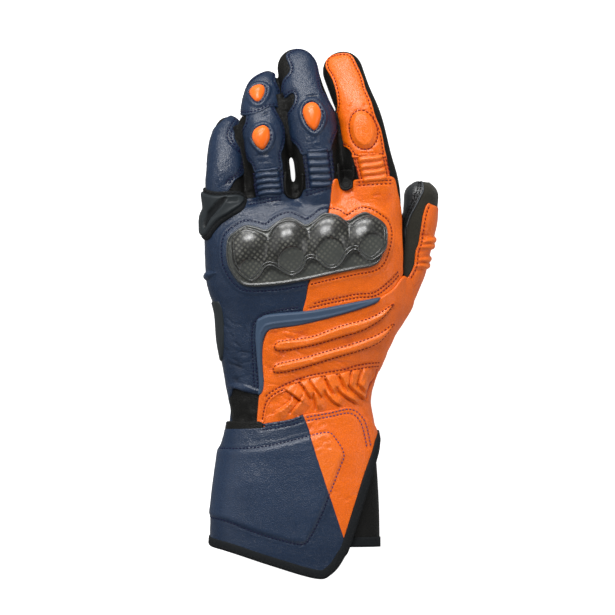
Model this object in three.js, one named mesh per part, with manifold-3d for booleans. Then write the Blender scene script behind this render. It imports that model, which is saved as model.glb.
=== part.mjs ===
// A motorcycle racing gauntlet for the left hand, lying on its palm with the fingers towards +Y and
// the thumb towards +X. Lengths are in millimetres. The shapes are laid out in a hand frame that has
// its zero on the floor below the middle of the wrist crease, and the finished group is then moved so
// that the middle of its footprint is at the origin.
import * as THREE from "three";
import { mergeVertices } from "three/addons/utils/BufferGeometryUtils.js";
import Module from "manifold-3d";

const wasm = await Module();
wasm.setup();

// Driving sizes of the hand, wrist and cuff
const PALM_LENGTH = 121; // wrist crease to the finger webs
const PALM_WIDTH = 120; // across the knuckles
const PALM_DEPTH = 46; // floor to the back of the knuckles
const WRIST_WIDTH = 84;
const WRIST_DEPTH = 40;
const CUFF_LENGTH = 89; // wrist crease to the hem of the inner cuff
const CUFF_WIDTH = 101;
const CUFF_DEPTH = 48;
const WALL = 2.5; // leather with its lining
const GAP = 0.3; // clearance between neighbouring pieces

// Driving sizes of the fingers, from their roots inside the palm to the middle of the tip's round
const INDEX_LENGTH = 99.5;
const MIDDLE_LENGTH = 101.5;
const RING_LENGTH = 88;
const PINKY_LENGTH = 62.5;
const THUMB_LENGTH = 86;
const INDEX_WIDTH = 29;
const MIDDLE_WIDTH = 28.5;
const RING_WIDTH = 25.4;
const PINKY_WIDTH = 24;
const THUMB_WIDTH = 21;
const FINGER_DEPTH = 24;
const PINKY_DEPTH = 21;
const THUMB_DEPTH = 24;

// Driving sizes of what is sewn or bonded on top
const GUARD_LIFT = 3; // rim of the hard knuckle guard over the leather
const GUARD_DOME_WIDTH = 22;
const GUARD_DOME_LENGTH = 33;
const GUARD_DOME_HEIGHT = 8.5;
const INSERT_WIDTH = 11;
const INSERT_LENGTH = 16;
const INSERT_HEIGHT = 2.6;
const SLIDER_LIFT = 3.2;
const RUBBER_RIB_LIFT = 2.2;
const QUILT_LIFT = 2.2;
const PLEAT_LIFT = 1.3;
const FOLD_LIFT = 2.2;
const FLAP_WALL = 2.2;
const FLAP_CLEARANCE = 0.6; // between the inner cuff and the flap that wraps it
const FLAP_OVERHANG = 20; // how far the flap's corner passes the inner cuff's hem
const BINDING_WIDTH = 4;
const BINDING_LIFT = 0.7;
const STRAP_WALL = 1.6;
const HEM_WIDTH = 6;

// How fine the facets are
const HAND_SIDES = 20;
const FINGER_SIDES = 12;
const CAP_STEPS = 3;
const ROWS_PER_SPAN = 1;

// Heights that a cut passes, well clear of the glove
const ABOVE = 90;
const BELOW = -20;

function table(columns, rows) {
  return rows.map((row) => Object.fromEntries(columns.map((c, i) => [c, row[i]])));
}

// Sections of the hand. along is a share of the palm's length from the wrist, left and right are
// shares of its width, and top a share of its depth.
const PALM_ROWS = table(
  ["along", "left", "right", "top"],
  [
    [0.9, -0.5, 0.5, 0.88],
    [0.76, -0.495, 0.505, 1.0],
    [0.58, -0.485, 0.505, 0.98],
    [0.43, -0.443, 0.49, 0.94],
    [0.28, -0.43, 0.425, 0.9],
    [0.13, -0.4, 0.36, 0.87],
  ],
);
// Sections of the inner cuff, as shares of the cuff's length, width and depth.
const CUFF_ROWS = table(
  ["along", "left", "right", "top"],
  [
    [0.16, -0.438, 0.405, 0.84],
    [0.36, -0.477, 0.432, 0.89],
    [0.7, -0.517, 0.452, 0.96],
    [1.0, -0.533, 0.457, 1.0],
  ],
);
const WRIST_SHIFT = -0.037; // of the wrist's width, towards the little finger
const WIDEST_AT = 0.48; // share of a section's height at which it is widest
const SAG = 3; // how far a section would reach below the floor if it weren't flattened there
const TOP_POWER = 2.6;
const SIDE_POWER = 2.0;

// Fingers. along is a share of the finger's length, side a share of the palm's width, height a share
// of its depth, and width and depth are shares of the finger's own.
const FINGER_COLUMNS = ["along", "side", "height", "width", "depth"];
const FINGER_ROOT = 0.8; // of the palm's length
const FINGERS = {
  pinky: {
    length: PINKY_LENGTH,
    width: PINKY_WIDTH,
    depth: PINKY_DEPTH,
    rows: table(FINGER_COLUMNS, [
      [0, -0.35, 0.52, 1.0, 1.05],
      [0.43, -0.388, 0.52, 1.0, 1.03],
      [0.67, -0.392, 0.48, 0.93, 1.0],
      [0.87, -0.39, 0.35, 0.84, 0.95],
      [1, -0.382, 0.23, 0.74, 0.86],
    ]),
  },
  ring: {
    length: RING_LENGTH,
    width: RING_WIDTH,
    depth: FINGER_DEPTH,
    rows: table(FINGER_COLUMNS, [
      [0, -0.12, 0.55, 1.0, 1.0],
      [0.31, -0.155, 0.57, 0.97, 0.98],
      [0.51, -0.178, 0.57, 0.99, 0.98],
      [0.68, -0.194, 0.54, 1.0, 1.0],
      [0.84, -0.212, 0.42, 0.94, 0.92],
      [1, -0.199, 0.245, 0.84, 0.82],
    ]),
  },
  middle: {
    length: MIDDLE_LENGTH,
    width: MIDDLE_WIDTH,
    depth: FINGER_DEPTH,
    rows: table(FINGER_COLUMNS, [
      [0, 0.095, 0.56, 0.92, 1.0],
      [0.27, 0.083, 0.6, 0.92, 0.98],
      [0.48, 0.063, 0.6, 0.96, 0.98],
      [0.69, 0.04, 0.53, 1.0, 1.0],
      [0.86, -0.003, 0.39, 0.92, 0.9],
      [1, -0.034, 0.245, 0.885, 0.82],
    ]),
  },
  index: {
    length: INDEX_LENGTH,
    width: INDEX_WIDTH,
    depth: FINGER_DEPTH,
    rows: table(FINGER_COLUMNS, [
      [0, 0.366, 0.54, 1.02, 1.0],
      [0.27, 0.358, 0.57, 1.06, 0.98],
      [0.48, 0.324, 0.57, 0.98, 0.98],
      [0.7, 0.288, 0.51, 0.9, 1.0],
      [0.87, 0.233, 0.38, 0.87, 0.9],
      [1, 0.195, 0.245, 0.88, 0.82],
    ]),
  },
};
const THUMB_ROOT = 0.29; // of the palm's length
const THUMB = {
  length: THUMB_LENGTH,
  width: THUMB_WIDTH,
  depth: THUMB_DEPTH,
  rows: table(FINGER_COLUMNS, [
    [0, 0.325, 0.37, 0.95, 1.15],
    [0.23, 0.42, 0.33, 1.08, 1.12],
    [0.42, 0.497, 0.3, 1.02, 1.08],
    [0.63, 0.548, 0.285, 0.94, 1.03],
    [0.84, 0.58, 0.28, 0.95, 1.0],
    [1, 0.587, 0.275, 0.96, 0.96],
  ]),
};
const TIP_REACH = 0.46; // length of a fingertip's round, as a share of the finger's width
const FINGER_POWER = 2.25;

// Panels on the backs of the fingers: left and right are shares of the finger's half width.
const EDGE_COLUMNS = ["along", "left", "right"];
const FINGER_PANELS = {
  pinky: { seam: -0.1, edges: table(EDGE_COLUMNS, [[0.44, -1.3, 0.75], [0.6, -1.3, 0.95], [0.8, -1.3, 0.75], [1, -1.3, 0.8]]) },
  ring: { seam: 0, edges: table(EDGE_COLUMNS, [[0.45, -0.66, 0.62], [0.55, -1.0, 0.9], [0.68, -1.15, 1.1], [0.84, -1.15, 1.1], [1, -1.1, 0.9]]) },
  middle: { seam: 0, edges: table(EDGE_COLUMNS, [[0.49, -0.62, 0.68], [0.58, -0.95, 0.9], [0.7, -1.15, 1.1], [0.86, -1.15, 1.1], [1, -0.8, 1.0]]) },
  index: { seam: 0, edges: table(EDGE_COLUMNS, [[0.47, -0.5, 0.76], [0.54, -1.0, 0.8], [0.7, -1.1, 0.93], [0.86, -0.85, 0.9], [1, -0.8, 0.7]]) },
};
// Ribbed stretch panels between a finger's back and the hand: start and end are shares of its length.
const STRETCH_PANELS = {
  ring: { start: 0.3, end: 0.44, left: -0.66, right: 0.64, pleats: 3 },
  middle: { start: 0.31, end: 0.48, left: -0.6, right: 0.64, pleats: 4 },
  index: { start: 0.36, end: 0.46, left: -0.52, right: 0.72, pleats: 3 },
};
// Domed inserts on the finger joints.
const INSERTS = table(
  ["name", "finger", "along", "side", "size"],
  [
    ["insert_index", "index", 0.62, 0.06, 1.15],
    ["insert_middle", "middle", 0.68, 0.06, 1.0],
    ["insert_ring", "ring", 0.645, -0.14, 0.9],
    ["insert_ring_tip", "ring", 0.925, -0.42, 0.75],
  ],
);

// Turns a three.js geometry into a solid for cutting and joining.
function solid(geometry) {
  const bare = geometry.index ? geometry.toNonIndexed() : geometry.clone();
  bare.deleteAttribute("normal");
  bare.deleteAttribute("uv");
  const merged = mergeVertices(bare, 1e-4);
  return new wasm.Manifold(
    new wasm.Mesh({
      numProp: 3,
      vertProperties: new Float32Array(merged.attributes.position.array),
      triVerts: new Uint32Array(merged.index.array),
    }),
  );
}

// A closed body through rings of points, each ring with the same number of points.
function loft(rings) {
  const sides = rings[0].length;
  const points = rings.flat();
  const first = points.push(centre(rings[0])) - 1;
  const last = points.push(centre(rings.at(-1))) - 1;
  const faces = [];
  for (let r = 0; r + 1 < rings.length; r++)
    for (let k = 0; k < sides; k++) {
      const a = r * sides + k;
      const b = r * sides + ((k + 1) % sides);
      faces.push(a, b, b + sides, a, b + sides, a + sides);
    }
  const top = (rings.length - 1) * sides;
  for (let k = 0; k < sides; k++) {
    const next = (k + 1) % sides;
    faces.push(first, next, k, last, top + k, top + next);
  }
  const geometry = new THREE.BufferGeometry().setFromPoints(points);
  geometry.setIndex(faces);
  const body = solid(geometry);
  if (body.volume() >= 0) return body;
  for (let i = 0; i < faces.length; i += 3) [faces[i + 1], faces[i + 2]] = [faces[i + 2], faces[i + 1]];
  geometry.setIndex(faces);
  return solid(geometry);
}

function centre(ring) {
  return ring.reduce((sum, p) => sum.add(p), new THREE.Vector3()).divideScalar(ring.length);
}

// The outline, in the plane of the hand, extruded between two heights.
function prism(outline, low = BELOW, high = ABOVE) {
  const geometry = new THREE.ExtrudeGeometry(new THREE.Shape(outline), {
    depth: high - low,
    bevelEnabled: false,
    steps: 1,
  });
  geometry.translate(0, 0, low);
  return solid(geometry);
}

function block(x0, x1, y0, y1, z0, z1) {
  const geometry = new THREE.BoxGeometry(x1 - x0, y1 - y0, z1 - z0);
  geometry.translate((x0 + x1) / 2, (y0 + y1) / 2, (z0 + z1) / 2);
  return solid(geometry);
}

function ellipsoid(at, axes, radii, around = 12, rings = 6) {
  const geometry = new THREE.SphereGeometry(1, around, rings);
  const [side, along, up] = axes.map((axis, i) => axis.clone().multiplyScalar(radii[i]));
  geometry.applyMatrix4(new THREE.Matrix4().makeBasis(side, along, up).setPosition(at));
  return solid(geometry);
}

const join = (...bodies) => bodies.flat().reduce((a, b) => a.add(b));

// A cut can leave slivers beside the piece, so only its main body is kept.
function mainBody(body) {
  return body.decompose().reduce((a, b) => (a.volume() > b.volume() ? a : b));
}

// Values between the rows of a table, by a smooth curve through them.
function between(rows, key, t) {
  const last = rows.length - 1;
  const i = Math.min(Math.max(Math.floor(t), 0), last - 1);
  const at = (k) => rows[Math.min(Math.max(k, 0), last)][key];
  const f = t - i;
  const [a, b, c, d] = [at(i - 1), at(i), at(i + 1), at(i + 2)];
  return b + 0.5 * f * (c - a + f * (2 * a - 5 * b + 4 * c - d + f * (3 * (b - c) + d - a)));
}

function linear(rows, key, along) {
  const i = Math.max(rows.findIndex((r) => r.along >= along), 1);
  const [a, b] = along > rows.at(-1).along ? rows.slice(-2) : [rows[i - 1], rows[i]];
  const f = Math.min(Math.max((along - a.along) / (b.along - a.along), 0), 1);
  return a[key] + f * (b[key] - a[key]);
}

const signedPower = (value, power) => Math.sign(value) * Math.abs(value) ** power;

// Rows of the hand, in millimetres, from the knuckles to the end of the cuff.
function handRows() {
  const rows = PALM_ROWS.map((r) => ({
    y: r.along * PALM_LENGTH,
    left: r.left * PALM_WIDTH,
    right: r.right * PALM_WIDTH,
    top: r.top * PALM_DEPTH,
  }));
  rows.push({
    y: 0,
    left: (WRIST_SHIFT - 0.5) * WRIST_WIDTH,
    right: (WRIST_SHIFT + 0.5) * WRIST_WIDTH,
    top: WRIST_DEPTH,
  });
  for (const r of CUFF_ROWS)
    rows.push({
      y: -r.along * CUFF_LENGTH,
      left: r.left * CUFF_WIDTH,
      right: r.right * CUFF_WIDTH,
      top: r.top * CUFF_DEPTH,
    });
  return rows;
}
const HAND = handRows();
const KNUCKLE_REACH = PALM_LENGTH - HAND[0].y; // the round of the hand's far end

function handRowAt(t) {
  return {
    y: between(HAND, "y", t),
    left: between(HAND, "left", t),
    right: between(HAND, "right", t),
    top: between(HAND, "top", t),
  };
}

// One ring of the hand, grown outwards by grow and flattened where it lies on the floor.
function handRing(row, grow, shrink = 1) {
  const middle = (row.left + row.right) / 2;
  const half = ((row.right - row.left) / 2 + grow) * shrink;
  const widest = row.top * WIDEST_AT;
  const up = (row.top - widest + grow) * shrink;
  const down = (widest + SAG + grow) * shrink;
  const ring = [];
  for (let k = 0; k < HAND_SIDES; k++) {
    const a = (2 * Math.PI * k) / HAND_SIDES;
    const power = 2 / (Math.sin(a) > 0 ? TOP_POWER : SIDE_POWER);
    const x = middle + half * signedPower(Math.cos(a), power);
    const z = widest + (Math.sin(a) > 0 ? up : down) * signedPower(Math.sin(a), power);
    ring.push(new THREE.Vector3(x, row.y, Math.max(z, -grow)));
  }
  return ring;
}

// The hand and cuff as one closed body. Past the cuff's end it runs on by the overrun.
function handBody(grow, overrun = 0) {
  const rings = [];
  for (let step = CAP_STEPS; step > 0; step--) {
    const a = ((step - 0.3) / CAP_STEPS) * (Math.PI / 2);
    const y = HAND[0].y + (KNUCKLE_REACH + grow) * Math.sin(a);
    rings.push(handRing({ ...HAND[0], y }, grow, Math.cos(a)));
  }
  const spans = HAND.length - 1;
  for (let i = 0; i <= spans * ROWS_PER_SPAN; i++) rings.push(handRing(handRowAt(i / ROWS_PER_SPAN), grow));
  if (overrun) rings.push(handRing({ ...HAND.at(-1), y: HAND.at(-1).y - overrun }, grow));
  return loft(rings);
}

// Height of the hand's back over a point of the plan.
function backHeight(x, y) {
  let low = 0;
  let high = HAND.length - 1;
  for (let i = 0; i < 30; i++) {
    const t = (low + high) / 2;
    if (between(HAND, "y", t) > y) low = t;
    else high = t;
  }
  const row = handRowAt(low);
  const share = Math.min(Math.abs(x - (row.left + row.right) / 2) / ((row.right - row.left) / 2), 1);
  return row.top * (WIDEST_AT + (1 - WIDEST_AT) * (1 - share ** TOP_POWER) ** (1 / TOP_POWER));
}

// Axis point, frame and half sizes of a finger at a share t of its table.
function fingerAt(finger, t) {
  const place = (s) =>
    new THREE.Vector3(
      between(finger.rows, "side", s) * PALM_WIDTH,
      finger.root * PALM_LENGTH + between(finger.rows, "along", s) * finger.length,
      between(finger.rows, "height", s) * PALM_DEPTH,
    );
  const last = finger.rows.length - 1;
  const along = place(Math.min(t + 0.05, last)).sub(place(Math.max(t - 0.05, 0))).normalize();
  const side = new THREE.Vector3(along.y, -along.x, 0).normalize();
  const up = side.clone().cross(along);
  return {
    at: place(t),
    along,
    side,
    up,
    half: (between(finger.rows, "width", t) * finger.width) / 2,
    rise: (between(finger.rows, "depth", t) * finger.depth) / 2,
  };
}

// Where a share of the finger's length falls in its table.
function rowOf(finger, along) {
  let low = 0;
  let high = finger.rows.length - 1;
  for (let i = 0; i < 30; i++) {
    const t = (low + high) / 2;
    if (between(finger.rows, "along", t) < along) low = t;
    else high = t;
  }
  return low;
}

function fingerRing(frame, grow, shrink = 1, push = 0) {
  const ring = [];
  for (let k = 0; k < FINGER_SIDES; k++) {
    const a = (2 * Math.PI * k) / FINGER_SIDES;
    const x = (frame.half + grow) * shrink * signedPower(Math.cos(a), 2 / FINGER_POWER);
    const z = (frame.rise + grow) * shrink * signedPower(Math.sin(a), 2 / FINGER_POWER);
    const p = frame.at.clone().addScaledVector(frame.side, x).addScaledVector(frame.up, z);
    ring.push(p.addScaledVector(frame.along, push));
  }
  return ring;
}

function fingerBody(finger, grow) {
  const last = finger.rows.length - 1;
  const rings = [];
  for (let i = 0; i <= last * ROWS_PER_SPAN; i++) rings.push(fingerRing(fingerAt(finger, i / ROWS_PER_SPAN), grow));
  const tip = fingerAt(finger, last);
  const reach = finger.width * TIP_REACH + grow;
  for (let step = 1; step <= CAP_STEPS; step++) {
    const a = ((step - 0.25) / CAP_STEPS) * (Math.PI / 2);
    rings.push(fingerRing(tip, grow, Math.cos(a), reach * Math.sin(a)));
  }
  return loft(rings);
}

// A cutter that follows a finger: everything above the seam, between the left and right edges.
function fingerCutter(finger, edges, seam, start, end, grow = 0) {
  const rings = [];
  const steps = 6;
  for (let i = 0; i <= steps; i++) {
    const along = start + ((end - start) * i) / steps;
    const frame = fingerAt(finger, rowOf(finger, Math.min(along, 1)));
    const left = linear(edges, "left", along) * frame.half - grow;
    const right = linear(edges, "right", along) * frame.half + grow;
    const low = seam * frame.rise - grow;
    const high = 2.2 * frame.rise + grow;
    let push = Math.max(along - 1, 0) * finger.length;
    if (i === 0) push -= grow;
    if (i === steps) push += grow;
    const corner = (x, z) =>
      frame.at.clone().addScaledVector(frame.side, x).addScaledVector(frame.up, z).addScaledVector(frame.along, push);
    rings.push([corner(left, low), corner(right, low), corner(right, high), corner(left, high)]);
  }
  return loft(rings);
}

// Plan points given as shares of the palm: x of its width, y of its length from the wrist.
const palmPoint = ([x, y]) => new THREE.Vector2(x * PALM_WIDTH, y * PALM_LENGTH);
// Plan points given as shares of the cuff: x of its width, y of its length from the wrist, downwards.
const cuffPoint = ([x, y]) => new THREE.Vector2(x * CUFF_WIDTH, -y * CUFF_LENGTH);

// A closed smooth outline through a few points.
function smooth(points, divisions) {
  const curve = new THREE.SplineCurve([...points, points[0], points[1]]);
  const all = curve.getPoints(divisions * (points.length + 1));
  return all.slice(0, divisions * points.length);
}

// An outline moved outwards by a distance, or inwards where it is negative.
function offset(outline, distance) {
  const turn = Math.sign(THREE.ShapeUtils.area(outline));
  return outline.map((p, i) => {
    const before = outline.at(i - 1);
    const after = outline[(i + 1) % outline.length];
    const n1 = p.clone().sub(before).normalize();
    const n2 = after.clone().sub(p).normalize();
    const n = new THREE.Vector2(n1.y + n2.y, -n1.x - n2.x);
    const cosine = Math.max(1 + n1.dot(n2), 0.5);
    return p.clone().addScaledVector(n, (turn * distance) / cosine);
  });
}

for (const finger of Object.values(FINGERS)) finger.root = FINGER_ROOT;
THUMB.root = THUMB_ROOT;
const DIGITS = [...Object.values(FINGERS), THUMB];

// The whole glove grown by a distance, without and with its cuff running on.
const grownCache = new Map();
function grown(distance) {
  if (!grownCache.has(distance))
    grownCache.set(distance, join(handBody(distance), DIGITS.map((d) => fingerBody(d, distance))));
  return grownCache.get(distance);
}
const hollow = join(handBody(-WALL, WALL * 2), DIGITS.map((d) => fingerBody(d, -WALL)));

const NAVY = { color: 0x243453, roughness: 0.5, metalness: 0 };
const ORANGE = { color: 0xf06410, roughness: 0.5, metalness: 0 };
const BLACK = { color: 0x17181a, roughness: 0.65, metalness: 0 };
const CARBON = { color: 0x1c1e20, roughness: 0.15, metalness: 0.1 };
const RUBBER = { color: 0x4a5a70, roughness: 0.55, metalness: 0 };
const SLIDER = { color: 0x33383b, roughness: 0.5, metalness: 0 };

const SHORTEST_EDGE = 0.12; // cuts leave shorter ones, which are closed up
const FLATNESS = 0.07; // how far the surface may move where a needless corner is taken out
const ANY_LENGTH = 1e3;

// Takes out corners by joining each to a neighbour no further off than longest, where that keeps the
// surface closed, turns no face over and moves the surface by less than flatness.
function joinCorners(points, faces, longest, flatness) {
  const around = points.map(() => new Set());
  faces.forEach((face, i) => face.forEach((v) => around[v].add(i)));
  const neighbours = (v) => new Set([...around[v]].flatMap((i) => faces[i]).filter((u) => u !== v));
  const normal = (face) => {
    const [a, b, c] = face.map((v) => points[v]);
    return b.clone().sub(a).cross(c.clone().sub(a));
  };
  const canJoin = (kept, lost) => {
    const other = neighbours(lost);
    const shared = [...neighbours(kept)].filter((v) => other.has(v));
    if (shared.length !== 2) return false;
    const move = points[kept].clone().sub(points[lost]);
    return [...around[lost]].every((i) => {
      const before = normal(faces[i]);
      if (before.length() < 1e-4) return true;
      if (Math.abs(before.dot(move)) > flatness * before.length()) return false;
      if (faces[i].includes(kept)) return true;
      const after = normal(faces[i].map((v) => (v === lost ? kept : v)));
      return after.length() > 0.02 && before.dot(after) > 0.8 * before.length() * after.length();
    });
  };
  const joinEnds = (kept, lost) => {
    for (const i of [...around[lost]]) {
      if (faces[i].includes(kept)) {
        faces[i].forEach((v) => around[v].delete(i));
        faces[i] = null;
      } else {
        faces[i] = faces[i].map((v) => (v === lost ? kept : v));
        around[kept].add(i);
      }
    }
    around[lost].clear();
  };
  let changed = true;
  while (changed) {
    changed = false;
    for (let i = 0; i < faces.length; i++)
      for (let k = 0; k < 3 && faces[i]; k++) {
        const [a, b] = [faces[i][k], faces[i][(k + 1) % 3]];
        if (points[a].distanceTo(points[b]) > longest) continue;
        const pair = [[a, b], [b, a]].find(([kept, lost]) => canJoin(kept, lost));
        if (!pair) continue;
        joinEnds(...pair);
        changed = true;
        break;
      }
  }
  return faces.filter(Boolean);
}

const glove = new THREE.Group();
function add(name, body, look) {
  const made = mainBody(body).getMesh();
  const points = [];
  for (let i = 0; i < made.numVert; i++)
    points.push(new THREE.Vector3().fromArray(made.vertProperties, i * made.numProp));
  let faces = [];
  for (let i = 0; i < made.triVerts.length; i += 3) faces.push([...made.triVerts.subarray(i, i + 3)]);
  faces = joinCorners(points, faces, SHORTEST_EDGE, SHORTEST_EDGE);
  for (const share of [0.01, 0.02, 0.05, 1]) faces = joinCorners(points, faces, share * ANY_LENGTH, FLATNESS);
  const geometry = new THREE.BufferGeometry().setFromPoints(points);
  geometry.setIndex(faces.flat());
  const mesh = new THREE.Mesh(geometry, new THREE.MeshStandardMaterial(look));
  mesh.name = name;
  glove.add(mesh);
}

// The leather shell, from which the panels are taken one after another.
let shell = grown(0).subtract(hollow);
function take(name, cutter, wider, look, ridges = null) {
  const source = ridges ? shell.add(ridges) : shell;
  add(name, source.intersect(cutter), look);
  shell = shell.subtract(wider);
}

// Pleats: ridges across a finger, between two shares of its length.
const VALLEY_LIFT = 0.15;
function pleatedBody(finger, start, end, pleats) {
  const rings = [];
  for (let i = -1; i <= pleats * 2 + 1; i++) {
    const along = start + ((end - start) * i) / (pleats * 2);
    const lift = i % 2 === 0 || i < 0 || i > pleats * 2 ? VALLEY_LIFT : PLEAT_LIFT;
    rings.push(fingerRing(fingerAt(finger, rowOf(finger, along)), lift));
  }
  return loft(rings).subtract(hollow);
}

// Backs and stretch panels of the fingers
const BACK_LOOK = { pinky: NAVY, ring: NAVY, middle: NAVY, index: ORANGE };
const PAST_TIP = 1.25;
for (const [name, panel] of Object.entries(FINGER_PANELS)) {
  const finger = FINGERS[name];
  const start = panel.edges[0].along;
  const cutter = (grow) => fingerCutter(finger, panel.edges, panel.seam, start, PAST_TIP, grow);
  take(name + "_back", cutter(0), cutter(GAP), BACK_LOOK[name]);
}
for (const [name, panel] of Object.entries(STRETCH_PANELS)) {
  const { start, end, pleats } = panel;
  const finger = FINGERS[name];
  const edges = [
    { along: start, left: panel.left, right: panel.right },
    { along: end - 0.01, left: panel.left, right: panel.right },
  ];
  const cutter = (grow) => fingerCutter(finger, edges, 0.1, start, end - 0.01, grow);
  take(name + "_stretch", cutter(0), cutter(GAP), BACK_LOOK[name], pleatedBody(finger, start, end, pleats));
}

// The thumb's outer leather with its pleats
const THUMB_EDGES = table(EDGE_COLUMNS, [[0.3, -0.1, 1.5], [0.62, 0.1, 1.5], [0.98, 0.2, 1.5]]);
const THUMB_PLEATS = { start: 0.62, end: 0.88, pleats: 3 };
const THUMB_PARTS = table(
  ["name", "start", "end"],
  [
    ["thumb_stretch", THUMB_PLEATS.start, THUMB_PLEATS.end],
    ["thumb_tip_panel", THUMB_PLEATS.end + 0.005, 0.99],
    ["thumb_back", 0.3, THUMB_PLEATS.start - 0.005],
  ],
);
for (const part of THUMB_PARTS) {
  const { start, end, pleats } = THUMB_PLEATS;
  const cutter = (grow) => fingerCutter(THUMB, THUMB_EDGES, -0.35, part.start, part.end, grow);
  const ridges = part.name === "thumb_stretch" ? pleatedBody(THUMB, start, end, pleats) : null;
  take(part.name, cutter(0), cutter(GAP), ORANGE, ridges);
}

// Seam heights between the back panels and the black palm
const SEAM = 0.29 * PALM_DEPTH;

// Back of the hand: two colours that meet on a slanting line. Webs between the fingers stay black.
const WEBS = table(
  ["x", "y", "across", "along"],
  [
    [-0.27, 1.03, 5.5, 9],
    [-0.036, 1.03, 6.5, 11],
    [0.228, 1.07, 6.5, 11],
  ],
);
function webs(grow) {
  return join(
    WEBS.map((w) => {
      const middle = palmPoint([w.x, w.y]);
      const curve = new THREE.EllipseCurve(middle.x, middle.y, w.across / 2 + grow, w.along + grow);
      return prism(curve.getPoints(10).slice(0, 10));
    }),
  );
}
const BACK_NAVY = [
  [-0.62, 0.05], [-0.35, 0.05], [-0.32, 0.0], [-0.21, 0.02], [-0.215, 0.36], [-0.23, 0.392], [-0.17, 0.418],
  [-0.07, 0.438], [0.006, 0.44],
  [0.034, 0.575], [0.134, 0.915], [0.15, 1.075], [-0.02, 1.04], [-0.2, 1.01], [-0.3, 1.005], [-0.62, 1.03],
].map(palmPoint);
const BACK_ORANGE = [
  [0.006, 0.44], [0.175, 0.465], [0.325, 0.49], [0.42, 0.53], [0.485, 0.57], [0.487, 0.75],
  [0.475, 0.9], [0.45, 1.09], [0.26, 1.09], [0.15, 1.075], [0.134, 0.915], [0.034, 0.575],
].map(palmPoint);
const WRIST_ORANGE = [
  [-0.21, 0.02], [-0.215, 0.36], [-0.23, 0.392], [-0.17, 0.418], [-0.07, 0.438], [0.006, 0.44], [0.175, 0.465],
  [0.325, 0.49], [0.42, 0.53], [0.485, 0.57], [0.53, 0.6], [0.75, 0.6], [0.75, -0.3], [-0.21, -0.3],
].map(palmPoint);
const takePlan = (name, outline, look, ridges) =>
  take(
    name,
    prism(outline, SEAM).subtract(webs(0)),
    prism(offset(outline, GAP), SEAM - GAP).subtract(webs(-GAP)),
    look,
    ridges,
  );
takePlan("hand_back_navy", BACK_NAVY, NAVY);
takePlan("hand_back_orange", BACK_ORANGE, ORANGE);

// Gathers over the elastic at the wrist: x and y are shares of the palm, length in millimetres.
const FOLDS = table(
  ["x", "y", "length", "lean"],
  [
    [-0.09, -0.03, 19, -42],
    [-0.01, 0.03, 20, -24],
    [0.055, 0.035, 20, -18],
    [0.12, 0.05, 21, -12],
    [0.19, 0.06, 21, 6],
    [0.25, 0.06, 18, 22],
  ],
);
const FOLD_WIDTH = 5;
function gathers() {
  const ridges = FOLDS.map((f) => {
    const at = palmPoint([f.x, f.y]);
    const lean = THREE.MathUtils.degToRad(f.lean);
    const along = new THREE.Vector3(Math.sin(lean), Math.cos(lean), 0);
    const side = new THREE.Vector3(along.y, -along.x, 0);
    const place = new THREE.Vector3(at.x, at.y, backHeight(at.x, at.y) - 0.4);
    const radii = [FOLD_WIDTH / 2, f.length / 2, FOLD_LIFT];
    return ellipsoid(place, [side, along, new THREE.Vector3(0, 0, 1)], radii, 8, 4);
  });
  return join(ridges).subtract(grown(-WALL / 2));
}
takePlan("wrist_panel_orange", WRIST_ORANGE, ORANGE, gathers());

// The black leather below: fronts of the digits, then the inner cuff and the palm
const WEB_LINE = 0.985 * PALM_LENGTH;
const beyondWebs = (grow) => block(-200, 200, WEB_LINE - grow, 400, BELOW, ABOVE);
for (const [name, finger] of Object.entries(FINGERS)) {
  const cutter = (grow) => fingerBody(finger, 0.4 + grow).intersect(beyondWebs(grow));
  take(name + "_front", cutter(0), cutter(GAP), BLACK);
}
{
  const outside = (grow) => block(-200, 200, 0.3 * PALM_LENGTH, 400, BELOW, ABOVE).subtract(handBody(0.5 - grow));
  const cutter = (grow) => fingerBody(THUMB, 0.4 + grow).intersect(outside(grow));
  take("thumb_front", cutter(0), cutter(GAP), BLACK);
}
const CUFF_LINE = -0.12 * CUFF_LENGTH;
take("inner_cuff", block(-200, 200, -300, CUFF_LINE, BELOW, ABOVE), block(-200, 200, -300, CUFF_LINE + GAP, BELOW, ABOVE), BLACK);
add("palm", shell, BLACK);

// A pad of even thickness that lies on the leather inside an outline.
function pad(outline, lift, low = SEAM) {
  return grown(lift).subtract(grown(GAP)).intersect(prism(outline, low));
}

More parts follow.
